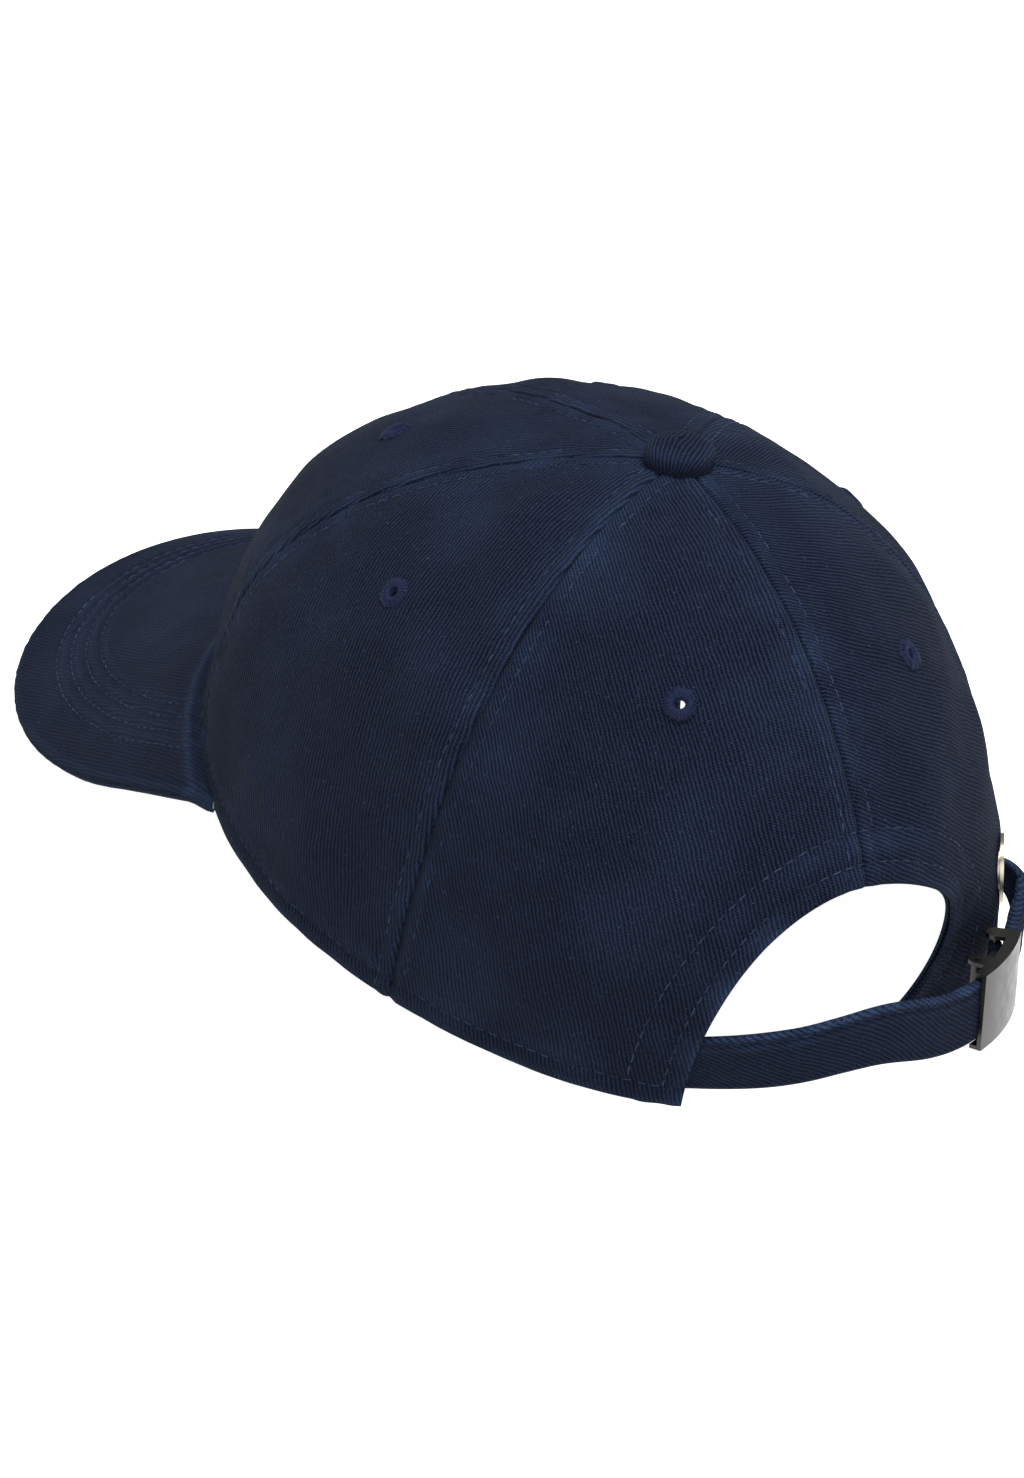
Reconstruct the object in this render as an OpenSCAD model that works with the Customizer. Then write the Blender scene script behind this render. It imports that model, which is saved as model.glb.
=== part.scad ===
// Six-panel baseball cap with a curved visor, an open back arch, and a strap with a clamp buckle.
// Millimetres. +Z up, the visor points to -Y, the wearer's left is +X. The cap stands on z = 0.
// An angle round the crown starts at the front, grows towards the wearer's left, and is 180 at the back.

/* [Crown] */
// Half the outside length of the rim, front to back
crown_half_len = 102.3; // [98:0.1:106]
// Half the outside width of the rim
crown_half_wid = 79.8; // [77:0.1:83]
// Height of the top of the crown above the table
crown_height = 113; // [108:0.5:118]
// How far the top of the crown sits behind the middle of the rim
apex_back = 18.7; // [14:0.1:22]
// How high the rim rises at the front
rim_rise = 38.2; // [34:0.1:42]
// Thickness of the crown cloth with its seam allowances
cloth = 1.2; // [1:0.1:1.4]
// Angle of the seam between a front and a side panel
front_seam = 52.3; // [46:0.1:56]
// Angle of the seam between a side and a rear panel
side_seam = 108.1; // [104:0.1:112]

/* [Back arch] */
// Half the width of the arch, as an angle round the crown
arch_half = 29; // [26:0.5:31]
// Top of the arch, as a share of the way up the crown
arch_top = 0.284; // [0.26:0.002:0.3]
// How much further the arch opens at its right foot, where the strap pulls it
arch_pull = 4; // [2:0.5:4]
// How far the strap pulls the right foot of the arch inwards
tuck_depth = 18; // [16:0.5:19]

/* [Visor] */
// Half the width of the visor
visor_half_wid = 80.5; // [78:0.1:82]
// Distance from the crown's middle to the visor's widest line
visor_wide_line = 61.1; // [56:0.1:64]
// Reach of the visor in front of its widest line
visor_reach = 114.7; // [108:0.1:118]
// Fall of the visor per millimetre forwards
visor_fall = 0.3085; // [0.3:0.0005:0.312]
// Bend of the visor across its width
visor_bend = 0.0053; // [0.0051:0.00005:0.00535]
// Thickness of the stiff board in the visor
board = 1.7; // [1.4:0.1:1.8]
// Thickness of each cloth cover of the visor
cover = 0.8; // [0.7:0.05:0.85]

/* [Strap and buckle] */
// Radius of the strap's middle line round its own centre
strap_radius = 56; // [55.8:0.1:56.2]
// Width of the strap
strap_wid = 14; // [12:0.5:14]
// Thickness of the folded strap
strap_thick = 2; // [1.6:0.1:2]
// Height of the strap's middle line above the table
strap_z = 12.2; // [12:0.1:13]
// How much lower the strap's sewn end is
strap_dip = 4.2; // [3:0.1:4.4]
// Length of the clamp lever from its pin to its tip
lever_len = 9; // [7:0.5:9]
// Radius of the clamp lever's pin
pin_r = 0.8; // [0.7:0.05:0.8]

/* [Trim] */
// Radius of the covered button on top
button_r = 7.7; // [7:0.1:8.5]
// Radius of the hole through a stitched eyelet
eyelet_hole_r = 1.1; // [1:0.05:1.3]
// Outside radius of a stitched eyelet
eyelet_r = 3.8; // [3.4:0.1:4.2]
// Radius of the hole in the metal grommet
grommet_hole_r = 5.2; // [5.2:0.1:5.4]

/* [Hidden] */

navy = [0.11, 0.15, 0.24];
faded_navy = [0.18, 0.25, 0.36];
tape_navy = [0.1, 0.13, 0.21];
gunmetal = [0.22, 0.21, 0.22];
nickel = [0.72, 0.69, 0.64];
white_plastic = [0.9, 0.9, 0.9];

// Profile of the crown: how square its walls are and how flat its top is, round the crown
wall_power = [1.18, 0.045, 0.102];
top_power = [0.787, -0.262, -0.085];
rim_power = 1.44;
rim_drop = 0.7;
egg = 0.0687;
arch_square = 0.3;
tuck_angle = -151;
tuck_spread = 13;
tuck_top = 60;
crown_top = 0.95;
// Layers inside the crown, as depths below its outer face
tape_depth = cloth + 0.15;
tape_thick = 0.6;
tape_half_wid = 6.5;
tape_end = 0.8;
facing_wid = [10.5, 0.1];
facing_depth = cloth + 0.6;
band_depth = cloth + 1.1;
band_thick = 1;
band_lean = 5;
band_height = 28;
band_end = 139;
// Eyelets, as [angle, share of the way up]
eyelet_front = [26.2, 0.586];
eyelet_side = [80.2, 0.506];
eyelet_rear = [144, 0.519];
eyelet_body_r = 1.9;
thread = 0.5;
// Visor
visor_end = 67;
visor_edge_end = 97;
visor_pull_in = 0.05;
visor_square = 0.7836;
visor_z = 38.2;
visor_gap = 0.4;
visor_step = 1.4;
board_inset = 0.985;
layer_gap = 0.05;
// The strap's arc, with its angles from the back towards the wearer's right
strap_centre = [-6, 48.5];
strap_start = -52;
dip_from = -14;
dip_span = 38;
tail_start = 54;
plate_start = 26;
plate_end = 50;
pin_angle = 32.8;
bar_angle = 48;
pin_play = 0.05;
lever_drop = 0.5;
plate_thick = 1;
plate_play = 0.4;
side_thick = 0.9;
side_play = 1;
ear_r = 2.2;
hub_r = 1.5;
hub_play = 0.3;
pin_proud = 0.3;
ear_foot = 4.6;
lever_thick = 1;
lever_gap = 0.4;
lever_inset = 0.8;
bar_play = 0.15;
flange_reach = 0.6;
bar_r = 0.8;
tab_thick = 0.6;
tab_wid = 13;
tab_len = 10;
tab_turn = 8;
// Tail of the strap from the buckle into the grommet, as [angle, radius, height, half width]
tail = [
    [57, 56.4, 13, 7], [60, 57.2, 14.4, 7], [63, 58.2, 16.4, 6.8], [66, 59, 19, 5.8],
    [69, 59, 21.8, 4], [71, 58, 23.6, 3], [72.5, 56.3, 24.6, 2.8], [73.8, 54.5, 24.9, 2.8],
    [75.4, 53, 25, 3], [78, 52.6, 25.2, 3.4], [81, 53.4, 25.8, 4], [84, 54.6, 26.4, 4.2]
];
grommet_at = [-127.3, 0.127];
grommet_r = 7.6;
grommet_wall = 0.4;
grommet_flange = 0.8;
washer_depth = cloth + 1.1;
washer_thick = 0.6;

visor_tip = visor_wide_line + visor_reach;
strap_back = strap_centre.y + strap_radius + strap_thick / 2;
y_shift = (visor_tip - strap_back) / 2;
strap_in = strap_radius - strap_thick / 2;
plate_in = strap_radius + strap_thick / 2 + plate_play;
plate_out = plate_in + plate_thick;
plate_half = strap_wid / 2 + side_play + side_thick;
pin_radius = strap_in - hub_r - hub_play;
$fn = 48;

// Crown surface: angle a round it, share v of the way up it
function series(k, a) = k[0] + k[1] * cos(a) + k[2] * cos(2 * a);
function rim_z(a) = rim_rise * pow((1 + cos(a)) / 2, rim_power) - rim_drop;
function turn(a) = a > 180 ? a - 360 : a;
function tuck(a, z) =
    z > tuck_top ? 0
    : tuck_depth * pow(1 - z / tuck_top, 2) * exp(-pow((turn(a) - tuck_angle) / tuck_spread, 2));
function towards(p, c, d) = let (g = [c.x - p.x, c.y - p.y]) d * g / norm(g);
function crown_pt(a, v) =
    let (
        h = sin(90 * v),
        f = pow(max(1 - pow(h, 2 / series(top_power, a)), 0), series(wall_power, a) / 2),
        z = rim_z(a) + (crown_height - rim_z(a)) * h,
        x = f * crown_half_wid * sin(a) * (1 + egg * cos(a)),
        y = apex_back * h - f * crown_half_len * cos(a),
        t = towards([x, y], strap_centre, tuck(a, z))
    )
    [x + t.x, y + t.y, z];
function crown_normal(a, v) =
    let (
        low = max(v - 0.01, 0),
        n = cross(crown_pt(a + 0.5, v) - crown_pt(a - 0.5, v), crown_pt(a, v + 0.01) - crown_pt(a, low))
    )
    n / norm(n);
function inside(a, v, d) = crown_pt(a, v) - d * crown_normal(a, v);
function share_up(a, height) = asin(height / (crown_height - rim_z(a))) / 90;

// A closed slab between two grids of points of the same size
function flat(grid) = [for (row = grid) for (p = row) p];
module slab(outer, inner) {
    nr = len(outer);
    nc = len(outer[0]);
    n = nr * nc;
    function at(r, c) = r * nc + c;
    function quad(p, q, r, s) = [[p, q, r], [p, r, s]];
    skin = [
        for (r = [0:nr - 2]) for (c = [0:nc - 2])
            for (f = quad(at(r, c), at(r + 1, c), at(r + 1, c + 1), at(r, c + 1))) f
    ];
    lining = [for (f = skin) [f[2] + n, f[1] + n, f[0] + n]];
    edges = concat(
        [for (c = [0:nc - 2]) for (f = quad(at(0, c), at(0, c + 1), at(0, c + 1) + n, at(0, c) + n)) f],
        [
            for (c = [0:nc - 2])
                for (f = quad(at(nr - 1, c + 1), at(nr - 1, c), at(nr - 1, c) + n, at(nr - 1, c + 1) + n)) f
        ],
        [for (r = [0:nr - 2]) for (f = quad(at(r + 1, 0), at(r, 0), at(r, 0) + n, at(r + 1, 0) + n)) f],
        [
            for (r = [0:nr - 2])
                for (f = quad(at(r, nc - 1), at(r + 1, nc - 1), at(r + 1, nc - 1) + n, at(r, nc - 1) + n)) f
        ]
    );
    polyhedron(points = concat(flat(outer), flat(inner)), faces = concat(skin, lining, edges), convexity = 6);
}

// Places what follows on the crown's outer face, with +Z along its normal
module on_crown(at) {
    n = crown_normal(at[0], at[1]);
    translate([0, y_shift, 0]) translate(crown_pt(at[0], at[1]))
        rotate([0, acos(n.z), atan2(n.y, n.x)]) children();
}
module ring(r_out, r_in, low, high) {
    translate([0, 0, low]) difference() {
        cylinder(r = r_out, h = high - low);
        translate([0, 0, -1]) cylinder(r = r_in, h = high - low + 2);
    }
}

// Crown panels
panel_rows = 15;
panel_cols = 12;
module panel(angles, bottom, hole) {
    function share(k, j) = bottom[j] + (crown_top - bottom[j]) * k / panel_rows;
    function face(d) = [for (k = [0:panel_rows]) [for (j = [0:len(angles) - 1]) inside(angles[j], share(k, j), d)]];
    difference() {
        translate([0, y_shift, 0]) slab(face(0), face(cloth));
        on_crown(hole) translate([0, 0, -4]) cylinder(r = eyelet_body_r + 0.1, h = 8);
    }
}
function spaced(a0, a1) = [for (j = [0:panel_cols]) a0 + (a1 - a0) * j / panel_cols];
module plain_panel(a0, a1, hole) {
    panel(spaced(a0, a1), [for (j = [0:panel_cols]) 0], hole);
}
arch_steps = 9;
foot_steps = 8;
// The arch's edge, with q from 0 at its right foot to 180 at its left foot
function arch_reach(q) = arch_half + arch_pull * (1 + cos(q)) / 2;
function arch_share(q) = arch_top * pow(max(sin(q), 0), 1 - arch_square * max(cos(q), 0));
function arch_turn(side, k) = side > 0 ? 180 - 90 * k / arch_steps : 90 * k / arch_steps;
function arch_angle(side, k) = let (q = arch_turn(side, k)) side * 180 + arch_reach(q) * cos(q);
function rear_angles(side) = concat(
    [
        for (j = [0:foot_steps])
            side * side_seam + (arch_angle(side, 0) - side * side_seam) * j / foot_steps
    ],
    [for (k = [1:arch_steps]) arch_angle(side, k)]
);
function rear_bottom(side) = concat(
    [for (j = [0:foot_steps]) 0],
    [for (k = [1:arch_steps]) arch_share(arch_turn(side, k))]
);
function reversed(list) = [for (j = [len(list) - 1:-1:0]) list[j]];
module rear_panel(side, hole) {
    if (side > 0) panel(rear_angles(1), rear_bottom(1), hole);
    else panel(reversed(rear_angles(-1)), reversed(rear_bottom(-1)), hole);
}
function mirrored(at) = [-at[0], at[1]];
module panel_front_left() color(navy) plain_panel(0, front_seam, eyelet_front);
module panel_front_right() color(navy) plain_panel(-front_seam, 0, mirrored(eyelet_front));
module panel_side_left() color(navy) plain_panel(front_seam, side_seam, eyelet_side);
module panel_side_right() color(navy) plain_panel(-side_seam, -front_seam, mirrored(eyelet_side));
module panel_rear_left() color(navy) rear_panel(1, eyelet_rear);
module panel_rear_right() {
    color(navy) difference() {
        rear_panel(-1, mirrored(eyelet_rear));
        on_crown(grommet_at) translate([0, 0, -6]) cylinder(r = grommet_hole_r + grommet_wall + 0.1, h = 12);
    }
}

// Cloth tapes sewn over the seams inside the crown
tape_rows = 14;
module tape(a, start) {
    function half_angle(v) =
        let (p = crown_pt(a, v) - [0, apex_back * sin(90 * v), 0])
        atan(tape_half_wid / norm([p.x, p.y]));
    function row(v, d) = [for (s = [-1, 0, 1]) inside(a + s * half_angle(v), v, d)];
    function face(d) = [for (k = [0:tape_rows]) row(start + (tape_end - start) * k / tape_rows, d)];
    color(tape_navy) translate([0, y_shift, 0]) slab(face(tape_depth), face(tape_depth + tape_thick));
}
tape_start = 0.02;
module tape_front() tape(0, tape_start);
module tape_front_left() tape(front_seam, tape_start);
module tape_front_right() tape(-front_seam, tape_start);
module tape_side_left() tape(side_seam, tape_start);
module tape_side_right() tape(-side_seam, tape_start);
module tape_back() tape(180, arch_top + facing_wid[1] + 0.02);

// Cloth facing inside the edge of the back arch
facing_steps = 2 * arch_steps;
module arch_facing() {
    function spot(w, k, d) =
        let (q = 180 * k / facing_steps)
        inside(
            180 + (arch_reach(q) + facing_wid[0] * w) * cos(q),
            max(arch_share(q) + facing_wid[1] * w * sin(q), 0.004),
            d
        );
    function face(d) = [for (w = [0:0.5:1]) [for (k = [0:facing_steps]) spot(w, k, d)]];
    color(navy) translate([0, y_shift, 0]) slab(face(facing_depth + tape_thick), face(facing_depth));
}

// Sweatband, sewn along the rim and leaning in towards its free top edge
band_steps = 46;
band_rows = 3;
module sweatband() {
    function spot(k, j, d) =
        let (a = -band_end + 2 * band_end * j / band_steps, s = k / band_rows)
        inside(a, share_up(a, 0.4 + (band_height - 0.4) * s), band_depth + band_lean * s + d);
    function face(d) = [for (k = [0:band_rows]) [for (j = [0:band_steps]) spot(k, j, d)]];
    color(navy) translate([0, y_shift, 0]) slab(face(0), face(band_thick));
}

// Stitched eyelets
module eyelet(at) {
    color(faded_navy) on_crown(at) {
        ring(eyelet_r, eyelet_hole_r, 0.1, 0.1 + thread);
        ring(eyelet_body_r, eyelet_hole_r, -cloth - 0.4, 0.2);
    }
}
module eyelet_front_left() eyelet(eyelet_front);
module eyelet_front_right() eyelet(mirrored(eyelet_front));
module eyelet_side_left() eyelet(eyelet_side);
module eyelet_side_right() eyelet(mirrored(eyelet_side));
module eyelet_rear_left() eyelet(eyelet_rear);
module eyelet_rear_right() eyelet(mirrored(eyelet_rear));

// Covered button: cloth over a pressed shell, held by a rivet through the crown
button_height = 4.6;
button_skin = 0.7;
button_fit = 0.1;
shell_thick = 0.6;
rivet_r = 1.2;
rivet_stem = 5.5;
rivet_head_r = 5.5;
rivet_head = 0.6;
rivet_rise = 2.6;
module button_profile(r, h) {
    polygon(concat([[0, 0]], [for (q = [0:9:90]) [r * pow(cos(q), 0.6), h * pow(sin(q), 0.9)]]));
}
module at_apex() translate([0, y_shift + apex_back, crown_height + 0.1]) children();
module button_cover() {
    color(navy) at_apex() rotate_extrude($fn = 64) difference() {
        button_profile(button_r, button_height);
        translate([0, -0.01]) button_profile(button_r - button_skin, button_height - button_skin);
    }
}
module button_shell() {
    shell_r = button_r - button_skin - button_fit;
    shell_h = button_height - button_skin - button_fit;
    color(nickel) at_apex() rotate_extrude($fn = 64) difference() {
        button_profile(shell_r, shell_h);
        translate([0, -0.01]) button_profile(shell_r - shell_thick, shell_h - shell_thick);
    }
}
module button_rivet() {
    color(nickel) at_apex() translate([0, 0, rivet_rise - rivet_stem]) {
        cylinder(r = rivet_r, h = rivet_stem);
        cylinder(r = rivet_head_r, h = rivet_head);
    }
}

// Visor: plan outline, its height, and its layers
function edge_x(q) =
    let (s = sin(q), pull = max(abs(q) - 80, 0) / (visor_edge_end - 80))
    visor_half_wid * sign(s) * pow(abs(s), visor_square) * (1 - visor_pull_in * pull * pull);
function edge_y(q) =
    let (c = cos(q))
    -visor_wide_line - visor_reach * sign(c) * pow(abs(c), visor_square);
function visor_height(x, y) =
    visor_z - visor_bend * x * x - visor_fall * (-y - crown_half_len);
function visor_pt(s, w, drop, inset) =
    let (
        a = visor_end * s,
        p = crown_pt(a, 0),
        n = crown_normal(a, 0.02),
        root = [p.x + visor_gap * n.x, p.y + visor_gap * n.y],
        q = visor_edge_end * s,
        tip = [edge_x(q), edge_y(q)],
        g = root + (tip - root) * w * inset,
        fix = rim_z(a) + visor_step - visor_height(p.x, p.y)
    )
    [g.x, g.y, visor_height(g.x, g.y) + fix * pow(1 - w, 2) - drop];
visor_cols = 40;
visor_rows = 7;
module visor_layer(drop, thick, inset) {
    function face(d) = [
        for (k = [0:visor_rows])
            [for (j = [0:visor_cols]) visor_pt(2 * j / visor_cols - 1, k / visor_rows, d, inset)]
    ];
    translate([0, y_shift, 0]) slab(face(drop + thick), face(drop));
}
module visor_top_cover() color(navy) visor_layer(0, cover, 1);
module visor_board() color(white_plastic) visor_layer(cover + layer_gap, board, board_inset);
module visor_under_cover() color(navy) visor_layer(cover + board + 2 * layer_gap, cover, 1);

// Strap, swept along its arc and its tail
function on_arc(angle, radius, z) = [
    strap_centre.x - radius * sin(angle),
    strap_centre.y + radius * cos(angle),
    z
];
arc_steps = 36;
strap_line = concat(
    [
        for (k = [0:arc_steps])
            let (a = strap_start + (tail_start - strap_start) * k / arc_steps)
            [a, strap_radius, strap_z - strap_dip * pow(max(dip_from - a, 0) / dip_span, 1.2), strap_wid / 2]
    ],
    tail
);
module strap() {
    n = len(strap_line);
    pts = [for (s = strap_line) on_arc(s[0], s[1], s[2])];
    function along(k) =
        let (t = pts[min(k + 1, n - 1)] - pts[max(k - 1, 0)])
        t / norm(t);
    function corner(k, u, w) =
        let (t = along(k), side = [-t.y, t.x, 0] / norm([t.x, t.y]), up = cross(side, t))
        pts[k] + u * side * strap_thick / 2 - w * up * strap_line[k][3];
    function face(u) = [for (w = [-1, 0, 1]) [for (k = [0:n - 1]) corner(k, u, w)]];
    color(navy) translate([0, y_shift, 0]) slab(face(1), face(-1));
}

// Metal grommet that the strap's tail is tucked through
module grommet() {
    color(nickel) on_crown(grommet_at) {
        ring(grommet_r, grommet_hole_r, 0.1, 0.1 + grommet_flange);
        ring(grommet_hole_r + grommet_wall, grommet_hole_r, -washer_depth - washer_thick, 0.1);
    }
}
module grommet_washer() {
    color(nickel) on_crown(grommet_at)
        ring(grommet_r, grommet_hole_r + grommet_wall + 0.05, -washer_depth - washer_thick, -washer_depth);
}

// Buckle: everything below turns round the strap's centre
module at_strap_centre() translate([strap_centre.x, strap_centre.y + y_shift, strap_z]) children();
module arc_block(r_in, r_out, from, to, half) {
    at_strap_centre() rotate([0, 0, 90 + from])
        rotate_extrude(angle = to - from, $fn = 240)
            translate([r_in, -half]) square([r_out - r_in, 2 * half]);
}
module on_pin(angle) {
    at_strap_centre() rotate([0, 0, angle]) translate([0, pin_radius, 0]) children();
}
module ears(angle, r_hole) {
    for (side = [-1, 1])
        on_pin(angle) translate([0, 0, side * (plate_half - side_thick / 2) - side_thick / 2])
            difference() {
                union() {
                    cylinder(r = ear_r, h = side_thick);
                    translate([-ear_r, 0, 0]) cube([2 * ear_r, ear_foot, side_thick]);
                }
                translate([0, 0, -1]) cylinder(r = r_hole, h = side_thick + 2);
            }
}
module buckle_plate() {
    color(gunmetal) {
        arc_block(plate_in, plate_out, plate_start, plate_end, plate_half);
        for (side = [-1, 1])
            translate([0, 0, side * (plate_half - side_thick / 2)])
                arc_block(strap_in + flange_reach, plate_in, plate_start, plate_end, side_thick / 2);
        ears(pin_angle, pin_r + 0.02);
        ears(bar_angle, bar_r);
        on_pin(bar_angle) cylinder(r = bar_r, h = 2 * plate_half, center = true);
    }
}
module hinge_pin() {
    color(gunmetal) on_pin(pin_angle) cylinder(r = pin_r, h = 2 * (plate_half + pin_proud), center = true);
}
module clamp_lever() {
    half = plate_half - side_thick - lever_gap;
    color(gunmetal) on_pin(pin_angle) difference() {
        union() {
            cylinder(r = hub_r, h = 2 * half, center = true);
            translate([-lever_len, -lever_drop, lever_inset - half])
                cube([lever_len, lever_thick, 2 * (half - lever_inset)]);
        }
        cylinder(r = pin_r + pin_play, h = 2 * half + 2, center = true);
    }
}
module buckle_tab() {
    color(navy) {
        on_pin(bar_angle) difference() {
            cylinder(r = bar_r + bar_play + tab_thick, h = tab_wid, center = true);
            cylinder(r = bar_r + bar_play, h = tab_wid + 2, center = true);
        }
        on_pin(bar_angle) rotate([0, 0, tab_turn])
            translate([-tab_len, -tab_thick, -tab_wid / 2])
                cube([tab_len - bar_r - bar_play - 0.1, 2 * tab_thick, tab_wid]);
    }
}

panel_front_left();
panel_front_right();
panel_side_left();
panel_side_right();
panel_rear_left();
panel_rear_right();
tape_front();
tape_front_left();
tape_front_right();
tape_side_left();
tape_side_right();
tape_back();
arch_facing();
sweatband();
eyelet_front_left();
eyelet_front_right();
eyelet_side_left();
eyelet_side_right();
eyelet_rear_left();
eyelet_rear_right();
button_cover();
button_shell();
button_rivet();
visor_top_cover();
visor_board();
visor_under_cover();
strap();
grommet();
grommet_washer();
buckle_plate();
hinge_pin();
clamp_lever();
buckle_tab();
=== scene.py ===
import math

import bmesh
import bpy
import numpy as np
from mathutils import Matrix, Vector


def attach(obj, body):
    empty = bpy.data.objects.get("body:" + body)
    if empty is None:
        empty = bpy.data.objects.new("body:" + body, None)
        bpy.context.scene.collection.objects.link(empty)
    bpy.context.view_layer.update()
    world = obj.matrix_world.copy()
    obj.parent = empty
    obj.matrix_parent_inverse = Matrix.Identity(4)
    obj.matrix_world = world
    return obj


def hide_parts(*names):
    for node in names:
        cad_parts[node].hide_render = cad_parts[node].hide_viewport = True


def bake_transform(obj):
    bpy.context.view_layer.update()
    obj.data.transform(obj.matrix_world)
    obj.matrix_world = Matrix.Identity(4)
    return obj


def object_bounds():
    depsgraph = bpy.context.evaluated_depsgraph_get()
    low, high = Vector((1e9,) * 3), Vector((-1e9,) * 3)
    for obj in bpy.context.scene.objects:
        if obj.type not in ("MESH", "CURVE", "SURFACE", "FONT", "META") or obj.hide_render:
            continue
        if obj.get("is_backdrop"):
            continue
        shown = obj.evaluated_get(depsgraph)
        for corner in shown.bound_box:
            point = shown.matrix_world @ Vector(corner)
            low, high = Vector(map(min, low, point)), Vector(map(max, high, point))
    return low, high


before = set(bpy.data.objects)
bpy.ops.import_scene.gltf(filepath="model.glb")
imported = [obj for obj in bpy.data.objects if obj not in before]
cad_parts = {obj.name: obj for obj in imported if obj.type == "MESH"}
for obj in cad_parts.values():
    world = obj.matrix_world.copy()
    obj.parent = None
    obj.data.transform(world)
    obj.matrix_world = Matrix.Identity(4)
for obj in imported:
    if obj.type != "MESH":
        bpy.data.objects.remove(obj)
cad_low, cad_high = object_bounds()
MM = 0.001

# ---------------------------------------------------------------- Camera
# A long lens behind the wearer's left shoulder, looking down at the back of the cap. The
# camera leans a little, so the cap seems to tip forward on its visor.
look_at = Vector((20.25, 27.25, 40.12)) * MM  # the middle of the view, inside the crown
camera_azimuth = math.radians(146.41)
camera_elevation = math.radians(25.11)
camera_roll = math.radians(3.73)
camera_distance = 2.5
level = Vector((math.cos(camera_azimuth), math.sin(camera_azimuth), 0))
toward = Vector((
    math.sin(camera_azimuth) * math.cos(camera_elevation),
    -math.cos(camera_azimuth) * math.cos(camera_elevation),
    math.sin(camera_elevation),
))
upward = toward.cross(level)
right = level * math.cos(camera_roll) + upward * math.sin(camera_roll)
camera_data = bpy.data.cameras.new("camera")
camera_data.lens = 282.4
camera_data.sensor_width = 36
camera_data.clip_end = 20
camera = bpy.data.objects.new("camera", camera_data)
bpy.context.collection.objects.link(camera)
camera.matrix_world = (
    Matrix.Translation(look_at + toward * camera_distance)
    @ Matrix((right, toward.cross(right), toward)).transposed().to_4x4()
)
bpy.context.scene.camera = camera

# ---------------------------------------------------------------- Crown panels
# Six panels of cotton twill, cut as tall triangles and sewn edge to edge. The seam allowances
# are pressed open under each seam, and the lower edges are turned up inside as a hem. The
# cloth is unstructured, so it dimples and puckers along every row of stitching.
# lengths are in mm, and angles go round the crown in degrees from the middle of the front
crown_half_len, crown_half_wid, crown_height = 102.3, 79.8, 113.0
# the button sits back from the rim's middle, and the rim rises to the front by rim_rise
apex_back, rim_rise, rim_power, rim_drop = 18.7, 38.2, 1.44, 0.7
# how square the crown's profile is, as a constant and two terms in the angle
wall_power, top_power, egg = (1.18, 0.045, 0.102), (0.787, -0.262, -0.085), 0.0687
front_seam, side_seam = 52.3, 108.1
arch_half, arch_top, arch_pull, arch_square = 29.0, 0.284, 4.0, 0.3
strap_centre = np.array((-6.0, 48.5))
# the tightened strap pulls the right foot of the arch in by tuck_depth
tuck_depth, tuck_angle, tuck_spread, tuck_top = 18.0, -151.0, 13.0, 60.0
visor_tip = 175.8
back_shift = cad_low.y / MM + visor_tip  # from the crown's middle to the frame's origin
cloth = 1.2
panel_top = 0.975
needle_gap = 3.6  # from a seam to the row of stitching on each side of it
hem_row = 4.2
arch_rows = (4.2, 11.0)


def cosd(x):
    return np.cos(np.radians(x))


def sind(x):
    return np.sin(np.radians(x))


def series(k, a):
    """A value that changes smoothly round the crown."""
    return k[0] + k[1] * cosd(a) + k[2] * cosd(2 * a)


def rim_z(a):
    """Height of the rim, low at the back and high over the forehead."""
    return rim_rise * ((1 + cosd(a)) / 2) ** rim_power - rim_drop


def crown(a, v):
    """Points in mm on the crown's outer face, at angle a round it and share v of the way up."""
    a, v = np.broadcast_arrays(np.asarray(a, float), np.asarray(v, float))
    h = sind(90 * np.clip(v, 0, 1))
    f = np.maximum(1 - h ** (2 / series(top_power, a)), 0) ** (series(wall_power, a) / 2)
    z = rim_z(a) + (crown_height - rim_z(a)) * h
    x = f * crown_half_wid * sind(a) * (1 + egg * cosd(a))
    y = apex_back * h - f * crown_half_len * cosd(a)
    turn = np.where(a > 180, a - 360, a)
    pull = tuck_depth * np.maximum(1 - z / tuck_top, 0) ** 2
    pull = pull * np.exp(-(((turn - tuck_angle) / tuck_spread) ** 2))
    gx, gy = strap_centre[0] - x, strap_centre[1] - y
    g = np.hypot(gx, gy) + 1e-9
    return np.stack([x + pull * gx / g, y + pull * gy / g + back_shift, z], -1)


def unit(p):
    """Directions of length 1."""
    return p / np.maximum(np.linalg.norm(p, axis=-1, keepdims=True), 1e-12)


def crown_normal(a, v):
    """Directions straight out of the crown's face, from small steps along it."""
    v = np.clip(v, 0.0, 0.985)
    low = np.maximum(v - 0.01, 0)
    return unit(np.cross(crown(a + 0.5, v) - crown(a - 0.5, v), crown(a, v + 0.01) - crown(a, low)))


def arch_reach(q):
    """Half width in degrees of the back arch at angle q round its edge, wider at its right foot."""
    return arch_half + arch_pull * (1 + cosd(q)) / 2


def arch_share(q):
    """Share of the way up the crown at angle q round the arch's edge."""
    return arch_top * np.maximum(sind(q), 0) ** (1 - arch_square * np.maximum(cosd(q), 0))


def arch_spot(q, out=0.0):
    """Angle and share of a point round the back arch, out mm away from its edge."""
    per_degree, per_share = 1.32, 166.0
    return 180 + (arch_reach(q) + out / per_degree) * cosd(q), arch_share(q) + out / per_share * sind(q)


def off_line(points, line):
    """Distance in mm from each point to a line of points."""
    flat = points.reshape(-1, 3)
    best = np.full(len(flat), 1e9)
    for p, q in zip(line[:-1], line[1:]):
        d = q - p
        t = np.clip((flat - p) @ d / (d @ d), 0, 1)
        best = np.minimum(best, np.linalg.norm(flat - p - t[:, None] * d, axis=1))
    return best.reshape(points.shape[:-1])


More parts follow.
